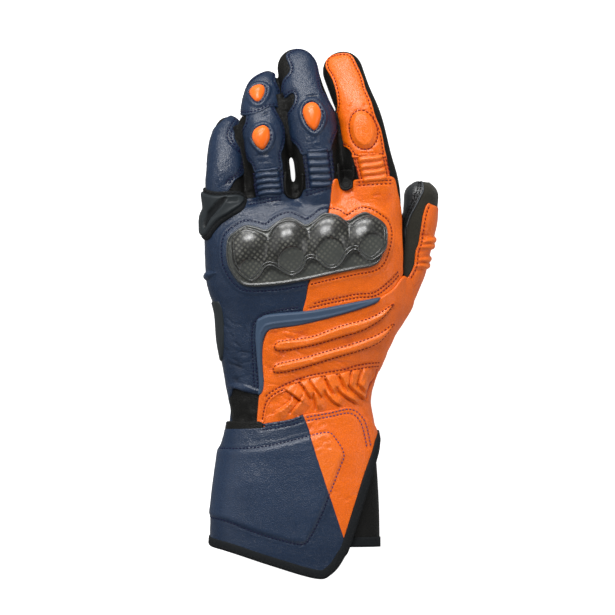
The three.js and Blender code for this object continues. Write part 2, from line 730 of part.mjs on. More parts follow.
// Hard knuckle guard: a lobed plate with a dome over each knuckle
const GUARD_OUTLINE = smooth(
  [
    [-0.385, 0.72], [-0.37, 0.8], [-0.28, 0.852], [-0.2, 0.838], [-0.14, 0.87], [-0.068, 0.892], [0.02, 0.866],
    [0.08, 0.895], [0.14, 0.914], [0.222, 0.892], [0.27, 0.91], [0.32, 0.914], [0.4, 0.875], [0.428, 0.8],
    [0.42, 0.72], [0.36, 0.655], [0.2, 0.61], [0.03, 0.574], [-0.13, 0.553], [-0.25, 0.544], [-0.34, 0.6],
  ].map(palmPoint),
  2,
);
const GUARD_DOMES = table(
  ["x", "y", "width", "length"],
  [
    [-0.26, 0.695, 0.95, 0.94],
    [-0.065, 0.732, 1.0, 1.0],
    [0.142, 0.762, 1.04, 0.97],
    [0.328, 0.78, 0.98, 0.85],
  ],
);
function knuckleGuard() {
  const plate = pad(GUARD_OUTLINE, GUARD_LIFT);
  const domes = GUARD_DOMES.map((d) => {
    const at = palmPoint([d.x, d.y]);
    const up = new THREE.Vector3(backHeight(at.x - 3, at.y) - backHeight(at.x + 3, at.y), 0, 6).normalize();
    const side = new THREE.Vector3(0, 1, 0).cross(up);
    const along = up.clone().cross(side);
    const place = new THREE.Vector3(at.x, at.y, backHeight(at.x, at.y) + GUARD_LIFT / 3);
    const radii = [(d.width * GUARD_DOME_WIDTH) / 2, (d.length * GUARD_DOME_LENGTH) / 2, GUARD_DOME_HEIGHT];
    return ellipsoid(place, [side, along, up], radii);
  });
  return plate.add(join(domes).subtract(grown(GAP)).intersect(prism(GUARD_OUTLINE)));
}
add("knuckle_guard", knuckleGuard(), CARBON);

// Domed inserts on the finger joints
for (const insert of INSERTS) {
  const finger = FINGERS[insert.finger];
  const frame = fingerAt(finger, rowOf(finger, insert.along));
  const turn = new THREE.Quaternion().setFromAxisAngle(frame.along, insert.side);
  const up = frame.up.clone().applyQuaternion(turn);
  const side = frame.side.clone().applyQuaternion(turn);
  const place = frame.at.clone().addScaledVector(up, frame.rise * Math.cos(insert.side));
  const radii = [(INSERT_WIDTH / 2) * insert.size, (INSERT_LENGTH / 2) * insert.size, INSERT_HEIGHT];
  const dome = ellipsoid(place, [side, frame.along, up], radii, 12, 6);
  add(insert.name, dome.subtract(grown(GAP)), ORANGE);
}

// Slider over the little finger's knuckle
const SLIDER_OUTLINE = smooth(
  [
    [-0.53, 0.97], [-0.48, 1.045], [-0.35, 1.02], [-0.29, 0.985], [-0.29, 0.94], [-0.36, 0.885], [-0.43, 0.81],
    [-0.47, 0.77], [-0.53, 0.79],
  ].map(palmPoint),
  2,
);
add("knuckle_slider", pad(SLIDER_OUTLINE, SLIDER_LIFT, SEAM + 4), SLIDER);

// Moulded rubber rib, bent like a hockey stick round the wrist panel
const RIB_OUTLINE = [
  [0.37, 0.48], [0.175, 0.445], [0.03, 0.418], [-0.07, 0.413], [-0.17, 0.393], [-0.215, 0.36], [-0.232, 0.31],
  [-0.235, 0.19], [-0.23, 0.03], [-0.205, 0.02], [-0.195, 0.05], [-0.195, 0.14], [-0.185, 0.255], [-0.16, 0.31],
  [-0.11, 0.335], [-0.02, 0.35], [0.175, 0.393], [0.35, 0.452],
].map(palmPoint);
add("rubber_rib", pad(RIB_OUTLINE, RUBBER_RIB_LIFT), RUBBER);

// Quilted ribs over the wrist panel: spine points with a width
const QUILT_SPINES = {
  quilt_upper: [[-0.13, 0.25], [0.0, 0.273], [0.15, 0.31], [0.31, 0.375], [0.42, 0.44]],
  quilt_lower: [[-0.13, 0.14], [0.0, 0.163], [0.13, 0.195], [0.29, 0.25], [0.395, 0.315]],
};
const QUILT_WIDTH = 5.4;
function ribbon(spine, width) {
  const points = new THREE.SplineCurve(spine).getPoints(14);
  const at = (i, side) => {
    const p = points[i];
    const d = points[Math.min(i + 1, 14)].clone().sub(points[Math.max(i - 1, 0)]).normalize();
    return new THREE.Vector2(p.x - (side * d.y * width) / 2, p.y + (side * d.x * width) / 2);
  };
  const indices = points.map((_, i) => i);
  return [...indices.map((i) => at(i, -1)), ...indices.reverse().map((i) => at(i, 1))];
}
for (const [name, spine] of Object.entries(QUILT_SPINES))
  add(name, pad(ribbon(spine.map(palmPoint), QUILT_WIDTH), QUILT_LIFT), ORANGE);

// Slider on the heel of the palm, on the little finger's side
const HEEL_SLIDER = { start: 0.17, end: 0.46, low: 0.14, high: 0.5, lift: 1.6 };
{
  const { start, end, low, high, lift } = HEEL_SLIDER;
  const region = block(-PALM_WIDTH, -0.3 * PALM_WIDTH, start * PALM_LENGTH, end * PALM_LENGTH, low * PALM_DEPTH, high * PALM_DEPTH);
  add("heel_slider", grown(lift).subtract(grown(GAP)).intersect(region), SLIDER);
}

// Closure strap that shows in the opening at the side of the wrist
const STRAP_OUTLINE = [[-0.5, 0.0], [-0.375, 0.0], [-0.24, -0.02], [-0.22, -0.1], [-0.5, -0.12]].map(palmPoint);
add("wrist_strap", pad(STRAP_OUTLINE, STRAP_WALL), BLACK);

// Gauntlet flap in two colours with a bound edge. It wraps the inner cuff and passes its hem.
const guide = (distance) => handBody(distance, FLAP_OVERHANG + 10);
const FLAP_INNER = FLAP_CLEARANCE;
const FLAP_OUTER = FLAP_INNER + FLAP_WALL;
const overhang = (share) => 1 + (share * FLAP_OVERHANG) / CUFF_LENGTH;
const FLAP_OUTLINE = [
  [-0.75, 0.17], [-0.24, 0.175], [-0.08, 0.15], [0.0, 0.115], [0.12, 0.08], [0.28, 0.05], [0.33, 0.06], [0.43, 0.21],
  [0.437, 0.33], [0.4, 0.5], [0.34, 0.75], [0.275, overhang(-0.02)], [0.215, overhang(0.68)], [0.15, overhang(0.93)],
  [0.07, overhang(0.97)], [-0.1, overhang(0.78)], [-0.3, overhang(0.4)], [-0.5, overhang(0.0)], [-0.75, overhang(-0.1)],
].map(cuffPoint);
const COLOUR_LINE = [[-0.032, 0.0], [0.238, overhang(-0.05)]].map(cuffPoint);
const FLAP_LOW = 0.22 * CUFF_DEPTH;
const flapWall = guide(FLAP_OUTER).subtract(guide(FLAP_INNER));
const inside = offset(FLAP_OUTLINE, -BINDING_WIDTH);
const leftOfLine = (shift) => {
  const [a, b] = COLOUR_LINE;
  const run = b.clone().sub(a).normalize();
  const [far, near] = [a.clone().addScaledVector(run, -80), b.clone().addScaledVector(run, 80)];
  return prism([far, near, new THREE.Vector2(-300, near.y), new THREE.Vector2(-300, far.y)].map((p) => new THREE.Vector2(p.x > -300 ? p.x + shift : p.x, p.y)));
};
const ABOVE_BINDING = cuffPoint([0, 0.3]).y;
const boundEdge = (grow) => {
  const rim = prism(FLAP_OUTLINE, FLAP_LOW).subtract(prism(offset(FLAP_OUTLINE, -BINDING_WIDTH - grow), FLAP_LOW - 1));
  const keep = block(-200, 200, -300, ABOVE_BINDING + grow, BELOW, ABOVE);
  const left = block(-200, -0.38 * CUFF_WIDTH, -0.9 * CUFF_LENGTH, 100, BELOW, ABOVE);
  return rim.intersect(keep).subtract(left);
};
const flapArea = prism(FLAP_OUTLINE, FLAP_LOW);
const flapPanels = flapWall.intersect(flapArea).subtract(boundEdge(GAP));
add("flap_navy", flapPanels.intersect(leftOfLine(0)), NAVY);
add("flap_orange", flapPanels.subtract(leftOfLine(GAP)), ORANGE);
add("flap_binding", guide(FLAP_OUTER + BINDING_LIFT).subtract(guide(FLAP_INNER)).intersect(boundEdge(0)), BLACK);

// Hem on the end of the inner cuff, where it shows beside the flap
const HEM_LIFT = 1.2;
const hemBand = block(0.3 * CUFF_WIDTH, CUFF_WIDTH, -CUFF_LENGTH, -CUFF_LENGTH + HEM_WIDTH, FLAP_LOW, ABOVE);
add("cuff_hem", handBody(HEM_LIFT).subtract(handBody(GAP)).intersect(hemBand).subtract(guide(FLAP_OUTER + BINDING_LIFT + GAP).intersect(prism(offset(FLAP_OUTLINE, GAP)))), BLACK);

// The middle of the footprint goes to the origin.
const box = new THREE.Box3().setFromObject(glove);
glove.position.set(-(box.min.x + box.max.x) / 2, -(box.min.y + box.max.y) / 2, -box.min.z);

export default glove;
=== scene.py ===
# A motorcycle racing gauntlet for the left hand, lying on its palm on a pale floor, seen from above.
# Lengths are in millimetres until a mesh is made, and then in metres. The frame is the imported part's:
# +Y to the fingertips, +X to the thumb, +Z up.
import math

import bmesh
import bpy
import numpy as np
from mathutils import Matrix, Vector, geometry
from mathutils.bvhtree import BVHTree


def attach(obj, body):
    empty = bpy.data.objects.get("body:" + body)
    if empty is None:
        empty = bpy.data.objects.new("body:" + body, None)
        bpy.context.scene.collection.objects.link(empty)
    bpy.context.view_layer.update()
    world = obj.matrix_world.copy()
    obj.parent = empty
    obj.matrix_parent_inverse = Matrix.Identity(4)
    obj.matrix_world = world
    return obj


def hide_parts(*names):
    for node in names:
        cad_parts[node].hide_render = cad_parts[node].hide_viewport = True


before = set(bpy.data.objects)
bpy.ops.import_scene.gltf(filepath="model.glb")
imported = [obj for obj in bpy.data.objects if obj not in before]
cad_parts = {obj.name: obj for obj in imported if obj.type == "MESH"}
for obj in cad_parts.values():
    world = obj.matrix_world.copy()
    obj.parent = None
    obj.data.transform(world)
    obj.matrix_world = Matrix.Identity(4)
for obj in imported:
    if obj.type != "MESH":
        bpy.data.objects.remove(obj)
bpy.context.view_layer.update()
MM = 0.001

# The plan points below are in the photograph's grid, where one unit is 0.6 mm.
GRID = 0.6
GRID_MIDDLE = (318.5, 313.0)

# Driving sizes, as in the solid model
PALM_LENGTH, PALM_WIDTH, PALM_DEPTH = 121.0, 120.0, 46.0
WRIST_WIDTH, WRIST_DEPTH, WRIST_SHIFT = 84.0, 40.0, -0.037
CUFF_LENGTH, CUFF_WIDTH, CUFF_DEPTH = 89.0, 101.0, 48.0
SAG, WIDEST_AT, TOP_POWER, SIDE_POWER = 3.0, 0.48, 2.6, 2.0
TIP_REACH, FINGER_POWER = 0.46, 2.25
FINGER_ROOT, THUMB_ROOT = 0.8, 0.29
FLAP_CLEARANCE, FLAP_WALL = 0.6, 2.2
SHIFT = np.array([-8.75, -51.11, 0.0])  # from the hand's frame to the part's
BASE_GROW = -0.6  # the body under the leather panels lies this far inside the solids' skin
ROOM_GROW = BASE_GROW - 1.9  # and the room for the hand this far
PAST_KNUCKLES = 0.11  # how fast the hand's chart falls past the knuckles, as a slope

# How finely the rings are laid
HAND_SIDES, HAND_STEPS, CAP_STEPS = 72, 4, 5
FINGER_SIDES, FINGER_STEPS, TIP_STEPS = 40, 6, 6
SLEEVE_SIDES = 96
CURVE_STEPS = 12  # points between two rows of a curve's table
ROW_PITCH = 0.866  # rows of an even triangle grid lie this share of its spacing apart

# along, left, right and top are shares of the palm's length, width and depth
PALM_ROWS = [
    (0.9, -0.5, 0.5, 0.88),
    (0.76, -0.495, 0.505, 1.0),
    (0.58, -0.485, 0.505, 0.98),
    (0.43, -0.443, 0.49, 0.94),
    (0.28, -0.43, 0.425, 0.9),
    (0.13, -0.4, 0.36, 0.87),
]
# the same shares of the cuff
CUFF_ROWS = [
    (0.16, -0.438, 0.405, 0.84),
    (0.36, -0.477, 0.432, 0.89),
    (0.7, -0.517, 0.452, 0.96),
    (1.0, -0.533, 0.457, 1.0),
]
# length, width, depth, then rows of along, side, height, width, depth
DIGITS = {
    "pinky": (62.5, 24.0, 21.0, [
        (0, -0.35, 0.52, 1.0, 1.05), (0.43, -0.388, 0.52, 1.0, 1.03), (0.67, -0.392, 0.48, 0.93, 1.0),
        (0.87, -0.39, 0.35, 0.84, 0.95), (1, -0.382, 0.23, 0.74, 0.86)]),
    "ring": (88.0, 25.4, 24.0, [
        (0, -0.12, 0.55, 1.0, 1.0), (0.31, -0.155, 0.57, 0.97, 0.98), (0.51, -0.178, 0.57, 0.99, 0.98),
        (0.68, -0.194, 0.54, 1.0, 1.0), (0.84, -0.212, 0.42, 0.94, 0.92), (1, -0.199, 0.245, 0.84, 0.82)]),
    "middle": (101.5, 28.5, 24.0, [
        (0, 0.095, 0.56, 0.92, 1.0), (0.27, 0.083, 0.6, 0.92, 0.98), (0.48, 0.063, 0.6, 0.96, 0.98),
        (0.69, 0.04, 0.53, 1.0, 1.0), (0.86, -0.003, 0.39, 0.92, 0.9), (1, -0.034, 0.245, 0.885, 0.82)]),
    "index": (99.5, 29.0, 24.0, [
        (0, 0.366, 0.54, 1.02, 1.0), (0.27, 0.358, 0.57, 1.06, 0.98), (0.48, 0.324, 0.57, 0.98, 0.98),
        (0.7, 0.288, 0.51, 0.9, 1.0), (0.87, 0.233, 0.38, 0.87, 0.9), (1, 0.195, 0.245, 0.88, 0.82)]),
    "thumb": (86.0, 21.0, 24.0, [
        (0, 0.325, 0.37, 0.95, 1.15), (0.23, 0.42, 0.33, 1.08, 1.12), (0.42, 0.497, 0.3, 1.02, 1.08),
        (0.63, 0.548, 0.285, 0.94, 1.03), (0.84, 0.58, 0.28, 0.95, 1.0), (1, 0.587, 0.275, 0.96, 0.96)]),
}


def spots(points):
    """Points of the photograph's grid, in the plan of the part."""
    return (np.array(points, float) - GRID_MIDDLE) * (GRID, -GRID)


# Curves and sections


def between(a, b, c, d, f):
    """The smooth curve from b to c at the share f, with a before them and d after."""
    return b + 0.5 * f * (c - a + f * (2 * a - 5 * b + 4 * c - d + f * (3 * (b - c) + d - a)))


def catmull(rows, t):
    """A smooth curve through the rows of a table, at t rows from the first."""
    rows = np.asarray(rows, float)
    t = np.atleast_1d(np.asarray(t, float))
    last = len(rows) - 1
    i = np.clip(np.floor(t).astype(int), 0, last - 1)
    return between(*(rows[np.clip(i + k, 0, last)] for k in (-1, 0, 1, 2)), (t - i)[:, None])


def smooth_closed(points, step):
    """A closed smooth outline through a few points, with a point about every step."""
    points = np.asarray(points, float)
    n = len(points)
    t = np.arange(0, n, 1 / CURVE_STEPS)
    i = np.floor(t).astype(int)
    dense = between(*(points[(i + k) % n] for k in (-1, 0, 1, 2)), (t - i)[:, None])
    return resample(dense, step, closed=True)


def run_along(points):
    """The distance along a path to each of its points."""
    return np.concatenate([[0], np.cumsum(np.linalg.norm(np.diff(points, axis=0), axis=1))])


def length_of(path):
    return np.linalg.norm(np.diff(path, axis=0), axis=1).sum()


def resample(points, step, closed=False):
    """The same path with a point about every step."""
    points = np.asarray(points, float)
    if closed:
        points = np.vstack([points, points[:1]])
    run = run_along(points)
    at = np.linspace(0, run[-1], max(int(round(run[-1] / step)), 2) + 1)
    out = np.stack([np.interp(at, run, column) for column in points.T], axis=1)
    return out[:-1] if closed else out


def open_curve(points, step):
    t = np.linspace(0, len(points) - 1, (len(points) - 1) * CURVE_STEPS + 1)
    return resample(catmull(points, t), step)


def power(value, exponent):
    return np.sign(value) * np.abs(value) ** exponent


def unit(v):
    return v / np.maximum(np.linalg.norm(v, axis=-1, keepdims=True), 1e-9)


def area_of(outline):
    """Twice the area inside an outline, which is negative if it runs clockwise."""
    after = np.roll(outline, -1, axis=0)
    return np.sum(outline[:, 0] * after[:, 1] - outline[:, 1] * after[:, 0])


def hand_table():
    """Rows of y, left, right and top in the hand's frame, from the knuckles to the cuff's end."""
    palm_rows = np.array(PALM_ROWS) * (PALM_LENGTH, PALM_WIDTH, PALM_WIDTH, PALM_DEPTH)
    left, right = (WRIST_SHIFT - 0.5) * WRIST_WIDTH, (WRIST_SHIFT + 0.5) * WRIST_WIDTH
    cuff_rows = np.array(CUFF_ROWS) * (-CUFF_LENGTH, CUFF_WIDTH, CUFF_WIDTH, CUFF_DEPTH)
    return np.vstack([palm_rows, (0, left, right, WRIST_DEPTH), cuff_rows])


HAND = hand_table()
KNUCKLE_REACH = PALM_LENGTH - HAND[0, 0]


def hand_row(y):
    """The row of the hand's table at any y."""
    rows = HAND[::-1]
    row = catmull(HAND, np.interp(y, rows[:, 0], np.arange(len(rows))[::-1]))[0]
    row[0] = y
    return row


def hand_ring(row, grow, sides, shrink=1.0):
    """A section of the palm or cuff, in the part's frame, flat where it rests on the floor."""
    y, left, right, top = row
    a = np.linspace(0, 2 * np.pi, sides, endpoint=False)
    middle = (left + right) / 2
    half = ((right - left) / 2 + grow) * shrink
    widest = top * WIDEST_AT
    up, down = (top - widest + grow) * shrink, (widest + SAG + grow) * shrink
    exponent = 2 / np.where(np.sin(a) > 0, TOP_POWER, SIDE_POWER)
    x = middle + half * power(np.cos(a), exponent)
    z = widest + np.where(np.sin(a) > 0, up, down) * power(np.sin(a), exponent)
    return np.stack([x, np.full_like(x, y), np.maximum(z, -grow)], axis=1) + SHIFT


def hand_rings(grow, overrun):
    """Sections from the rounded end at the knuckles to the cuff's end, and on by the overrun."""
    rings = []
    for k in range(CAP_STEPS, 0, -1):
        a = (k - 0.3) / CAP_STEPS * math.pi / 2
        row = HAND[0].copy()
        row[0] += (KNUCKLE_REACH + grow) * math.sin(a)
        rings.append(hand_ring(row, grow, HAND_SIDES, math.cos(a)))
    for t in np.arange(0, (len(HAND) - 1) * HAND_STEPS + 1) / HAND_STEPS:
        rings.append(hand_ring(catmull(HAND, t)[0], grow, HAND_SIDES))
    if overrun:
        rings.append(hand_ring(HAND[-1] - (overrun, 0, 0, 0), grow, HAND_SIDES))
    return rings


class Digit:
    """Axis, frame and half sizes along a finger."""

    def __init__(self, name):
        self.length, self.width, self.depth, rows = DIGITS[name]
        self.rows = np.array(rows, float)
        self.last = len(rows) - 1
        self.root = THUMB_ROOT if name == "thumb" else FINGER_ROOT

    def place(self, t):
        along, side, height = catmull(self.rows, t)[:, :3].T
        y = self.root * PALM_LENGTH + along * self.length
        return np.stack([side * PALM_WIDTH, y, height * PALM_DEPTH], axis=1) + SHIFT

    def ring(self, t, grow, sides, shrink=1.0, push=0.0):
        """A section at t rows from the root, pushed on past the finger's end for the tip."""
        t = np.atleast_1d(t)
        ahead = self.place(np.minimum(t + 0.05, self.last)) - self.place(np.maximum(t - 0.05, 0))
        along = unit(ahead)
        side = unit(np.stack([along[:, 1], -along[:, 0], np.zeros(1)], axis=1))
        up = np.cross(side, along)
        width, depth = catmull(self.rows, t)[0, 3:] * (self.width, self.depth)
        a = np.linspace(0, 2 * np.pi, sides, endpoint=False)[:, None]
        x = (width / 2 + grow) * shrink * power(np.cos(a), 2 / FINGER_POWER)
        z = (depth / 2 + grow) * shrink * power(np.sin(a), 2 / FINGER_POWER)
        return self.place(t) + side * x + up * z + along * push

    def rings(self, grow):
        steps = np.arange(0, self.last * FINGER_STEPS + 1) / FINGER_STEPS
        rings = [self.ring(t, grow, FINGER_SIDES) for t in steps]
        reach = self.width * TIP_REACH + grow
        for k in range(1, TIP_STEPS + 1):
            a = (k - 0.25) / TIP_STEPS * math.pi / 2
            rings.append(self.ring(self.last, grow, FINGER_SIDES, math.cos(a), reach * math.sin(a)))
        return rings


def bands(rings, sides, around=False):
    """Quads between rings of points; around joins the last ring to the first."""
    faces = []
    for r in range(rings if around else rings - 1):
        a, b = r * sides, (r + 1) % rings * sides
        faces += [(a + k, a + (k + 1) % sides, b + (k + 1) % sides, b + k) for k in range(sides)]
    return faces


def loft_faces(rings):
    """Points and faces of a closed body through rings of equal size."""
    sides = len(rings[0])
    points = np.vstack(rings + [ring.mean(axis=0, keepdims=True) for ring in (rings[0], rings[-1])])
    first, last = len(points) - 2, len(points) - 1
    faces = bands(len(rings), sides)
    end = (len(rings) - 1) * sides
    for k in range(sides):
        n = (k + 1) % sides
        faces += [(first, n, k), (last, end + k, end + n)]
    return points, faces


# Meshes


def point_values(mesh, name, values):
    layer = mesh.attributes.new(name, "FLOAT", "POINT")
    layer.data.foreach_set("value", np.asarray(values, np.float32))


def make_object(name, points, faces, shade=None, smooth=True):
    mesh = bpy.data.meshes.new(name)
    mesh.from_pydata((np.asarray(points) * MM).tolist(), [], [tuple(int(i) for i in f) for f in faces])
    mesh.validate()
    if smooth:
        mesh.shade_smooth()
    # The relief is kept on the points; the leather reads it to paint shade in hollows and highlight on
    # raised shapes.
    if shade is not None:
        point_values(mesh, "relief_shade", shade)
    obj = bpy.data.objects.new(name, mesh)
    bpy.context.scene.collection.objects.link(obj)
    return obj


def outwards(obj):
    """Turns the faces of a closed mesh out."""
    bm = bmesh.new()
    bm.from_mesh(obj.data)
    bmesh.ops.recalc_face_normals(bm, faces=bm.faces)
    bm.to_mesh(obj.data)
    bm.free()


def apply_modifier(obj, kind, **settings):
    mod = obj.modifiers.new(kind, kind)
    for key, value in settings.items():
        setattr(mod, key, value)
    bpy.context.view_layer.update()
    made = obj.evaluated_get(bpy.context.evaluated_depsgraph_get())
    mesh = bpy.data.meshes.new_from_object(made)
    obj.modifiers.clear()
    old = obj.data
    obj.data = mesh
    bpy.data.meshes.remove(old)


def points_of(obj):
    co = np.empty(len(obj.data.vertices) * 3, np.float32)
    obj.data.vertices.foreach_get("co", co)
    return co.reshape(-1, 3).astype(float) / MM


def fused(name, bodies, voxel, rounds, keep):
    """One smooth closed body from several closed lofts that overlap."""
    points, faces, start = [], [], 0
    for p, f in bodies:
        points.append(p)
        faces += [tuple(i + start for i in face) for face in f]
        start += len(p)
    obj = make_object(name, np.vstack(points), faces)
    outwards(obj)
    apply_modifier(obj, "REMESH", mode="VOXEL", voxel_size=voxel * MM)
    apply_modifier(obj, "SMOOTH", factor=0.5, iterations=rounds)
    apply_modifier(obj, "DECIMATE", ratio=keep)
    return obj


# The soft black sides that bulge between the fingers: x and y in the grid, height and radius in mm
LIMBS = [
    [(279, 94, 21, 2.6), (281, 108, 22, 3.0), (284, 124, 23, 3.0), (285.5, 140, 24, 2.6),
     (285, 155, 25, 2.4), (286.4, 170, 26, 2.5), (288.5, 184, 27, 2.5), (293.5, 191, 27, 2.9)],
    [(285.5, 100, 22, 3.0), (285, 115, 22, 3.0), (288, 130, 23, 2.8), (292.5, 146, 24, 2.4),
     (297, 160, 25, 2.4), (298.8, 172, 26, 2.5), (298.8, 185, 27, 2.5), (293.5, 191, 27, 2.9)],
    [(337, 112, 22, 2.4), (338, 130, 22, 2.6), (337.5, 150, 24, 3.1), (338.5, 168, 25, 3.2),
     (340.5, 182, 21.5, 3.0), (345.5, 186, 18, 2.8)],
    [(341, 118, 22, 2.2), (343, 135, 23, 2.6), (346, 152, 25, 3.0), (350, 166, 26, 3.3),
     (351, 178, 22.5, 3.0), (345.5, 186, 18, 2.8)],
    [(238, 125, 19, 2.6), (239.5, 140, 20, 2.8), (243, 158, 21, 2.8), (243, 172, 22, 3.0),
     (243, 186, 23, 3.0), (246.5, 193, 24, 2.8)],
    [(243, 118, 21, 2.2), (243, 135, 22, 2.4), (247, 155, 23, 2.6), (249.5, 170, 24, 2.8),
     (250, 186, 25, 2.8), (246.5, 193, 24, 2.8)],
    [(284, 190, 26, 3.2), (289, 196, 26, 3.4), (294, 198, 27, 3.4), (299, 195, 26, 3.4),
     (303, 188, 26, 3.2)],
    [(243, 196, 23, 3.4), (248, 199, 24, 3.4), (254, 197, 25, 3.4)],
    [(336, 191, 29, 3.2), (341, 196, 29, 3.6), (347, 198, 29, 3.8), (353, 196, 28, 3.6),
     (358, 190, 28, 3.2)],
    [(340, 203, 30, 3.4), (347, 204, 30, 3.6), (354, 203, 29.5, 3.4)],
]
LIMB_RISE = 1.5  # their height over their width


def limb(points):
    """A round bar of leather through points of the grid, closed at both ends."""
    table = np.array(points, float)
    table = np.hstack([spots(table[:, :2]), table[:, 2:]])
    rows = catmull(table, np.linspace(0, len(table) - 1, 40))
    way = unit(np.gradient(rows[:, :3], axis=0))
    side = unit(np.stack([way[:, 1], -way[:, 0], np.zeros(len(way))], axis=1))
    up = np.cross(side, way)
    turn = np.linspace(0, 2 * np.pi, 16, endpoint=False)[:, None]
    rings = []
    for row, s, u in zip(rows, side, up):
        rings.append(row[:3] + row[3] * (s * np.cos(turn) + LIMB_RISE * u * np.sin(turn)))
    return loft_faces(rings)


def glove_lofts(grow, overrun=0.0):
    bodies = [loft_faces(hand_rings(grow, overrun))]
    return bodies + [loft_faces(Digit(name).rings(grow)) for name in DIGITS]


def tree_of(obj):
    points = points_of(obj)
    faces = [tuple(p.vertices) for p in obj.data.polygons]
    return BVHTree.FromPolygons([Vector(p) for p in points], faces)


body = fused("glove_body", glove_lofts(BASE_GROW) + [limb(points) for points in LIMBS], 0.9, 10, 0.45)
BODY_TREE = tree_of(body)


# Charts: a grid of points of a surface, over the distance across it (to +X) and along it (to +Y)


class Chart:
    def __init__(self, across, along, points):
        self.low = np.array([across[0], along[0]])
        self.step = np.array([across[1] - across[0], along[1] - along[0]])
        self.size = np.array([len(across), len(along)])
        self.points = points
        self.normals = unit(np.cross(np.gradient(points, axis=0), np.gradient(points, axis=1)))
        self.top = np.argwhere(self.normals[:, :, 2] > 0.12)

    def blend(self, grid, st):
        """The grid's values between its nodes, on a smooth curve both ways."""
        f = np.clip((st - self.low) / self.step, 1, self.size - 2.001)
        i = np.floor(f).astype(int)
        weights = []
        for x in (f - i).T:
            weights.append((
                0.5 * (-x + 2 * x**2 - x**3), 0.5 * (2 - 5 * x**2 + 3 * x**3),
                0.5 * (x + 4 * x**2 - 3 * x**3), 0.5 * (x**3 - x**2)))
        total = 0.0
        for a in range(4):
            for b in range(4):
                weight = weights[0][a] * weights[1][b]
                total = total + grid[i[:, 0] + a - 1, i[:, 1] + b - 1] * weight[:, None]
        return total

    def at(self, st):
        st = np.atleast_2d(st)
        return self.blend(self.points, st), unit(self.blend(self.normals, st))

    def st(self, xy, lift=1.0):
        """Where points of the plan lie on the surface; past its outline they run on down the side."""
        xy = np.atleast_2d(xy)
        nodes = self.points[self.top[:, 0], self.top[:, 1], :2]
        nearest = [np.argmin(((nodes - p) ** 2).sum(axis=1)) for p in xy]
        st = self.low + self.step * self.top[nearest]
        for _ in range(6):
            here, normal = self.at(st)
            here = here + normal * lift
            s_way = self.at(st + [0.5, 0])[0] - self.at(st - [0.5, 0])[0]
            t_way = self.at(st + [0, 0.5])[0] - self.at(st - [0, 0.5])[0]
            miss = xy - here[:, :2]
            det = s_way[:, 0] * t_way[:, 1] - s_way[:, 1] * t_way[:, 0]
            det = np.where(np.abs(det) < 0.1, 0.1, det)
            ds = (miss[:, 0] * t_way[:, 1] - miss[:, 1] * t_way[:, 0]) / det
            dt = (s_way[:, 0] * miss[:, 1] - s_way[:, 1] * miss[:, 0]) / det
            move = np.stack([ds, dt], axis=1)
            st = st + move * np.minimum(1, 1.2 / np.maximum(np.linalg.norm(move, axis=1), 1e-9))[:, None]
        here, normal = self.at(st)
        here = here + normal * lift
        left = np.linalg.norm(xy - here[:, :2], axis=1)
        down = np.stack([-s_way[:, 2], -t_way[:, 2]], axis=1)
        return st + unit(down) * np.where(left > 0.4, left, 0)[:, None]


def side_arc(ring, top_index):
    """Distances round a ring from its top, growing to +X, for a ring that runs from +X over the top."""
    ring = np.roll(ring, -top_index, axis=0)
    run = run_along(np.vstack([ring, ring[:1]]))
    half = len(ring) // 2
    points = np.vstack([ring[half:], ring[:half + 1]])
    arc = np.concatenate([run[half:-1] - run[-1], run[:half + 1]])
    return -arc[::-1], points[::-1]


def ring_chart(rings, along, reach, references=None):
    """A chart of a run of rings, each measured round from its top."""
    across = np.arange(-reach, reach + 0.5, 1.0)
    grid = np.empty((len(across), len(along), 3))
    references = references or rings
    for k, (ring, reference) in enumerate(zip(rings, references)):
        arc = side_arc(reference, len(ring) // 4)[0]
        points = side_arc(ring, len(ring) // 4)[1]
        for axis in range(3):
            grid[:, k, axis] = np.interp(across, arc, points[:, axis])
    return across, along, grid


def settle(grid, out, inward, most):
    """Moves a grid's points along their normals onto the fused body, and evens them out."""
    normals = unit(np.cross(np.gradient(grid, axis=0), np.gradient(grid, axis=1)))
    shift = np.zeros(grid.shape[:2])
    for i in range(grid.shape[0]):
        for j in range(grid.shape[1]):
            start = grid[i, j] + normals[i, j] * out
            hit = BODY_TREE.ray_cast(Vector(start), Vector(-normals[i, j]), out + inward)
            if hit[0] is not None:
                shift[i, j] = np.clip(out - hit[3], -most, most)
    for _ in range(14):
        p = np.pad(shift, 1, mode="edge")
        shift = 0.5 * shift + 0.125 * (p[:-2, 1:-1] + p[2:, 1:-1] + p[1:-1, :-2] + p[1:-1, 2:])
    return grid + normals * shift[:, :, None]


def hand_chart(grow, far, near, onto_body):
    """The top and sides of the palm and cuff, between two lines across, in the part's frame."""
    along = np.arange(near, far + 0.5, 1.0)
    rings = []
    for y in along - SHIFT[1]:
        row = hand_row(y)
        row[3] -= PAST_KNUCKLES * max(y - HAND[0, 0], 0)
        rings.append(hand_ring(row, grow, 360))
    across, along, grid = ring_chart(rings, along, 92.0)
    if onto_body:
        grid = settle(grid, 7.0, 12.0, 9.0)
    return Chart(across, along, grid)


def digit_chart(name, onto_body=False):
    """The top and sides of a finger, from its root to past its tip."""
    digit = Digit(name)
    t = np.linspace(0, digit.last, 120)
    run = run_along(digit.place(t))
    tip = digit.width * TIP_REACH + BASE_GROW
    along = np.arange(0, run[-1] + tip * 1.3, 1.0)
    rings, references = [], []
    for u in along:
        at = np.interp(u, run, t)
        a = max(u - run[-1], 0) / tip
        rings.append(digit.ring(at, BASE_GROW, 240, math.cos(a), tip * math.sin(a)))
        references.append(digit.ring(at, BASE_GROW, 240))
    across, along, grid = ring_chart(rings, along, 34.0, references)
    if onto_body:
        grid = settle(grid, 3.0, 5.0, 3.0)
    return Chart(across, along, grid)


# Plan geometry


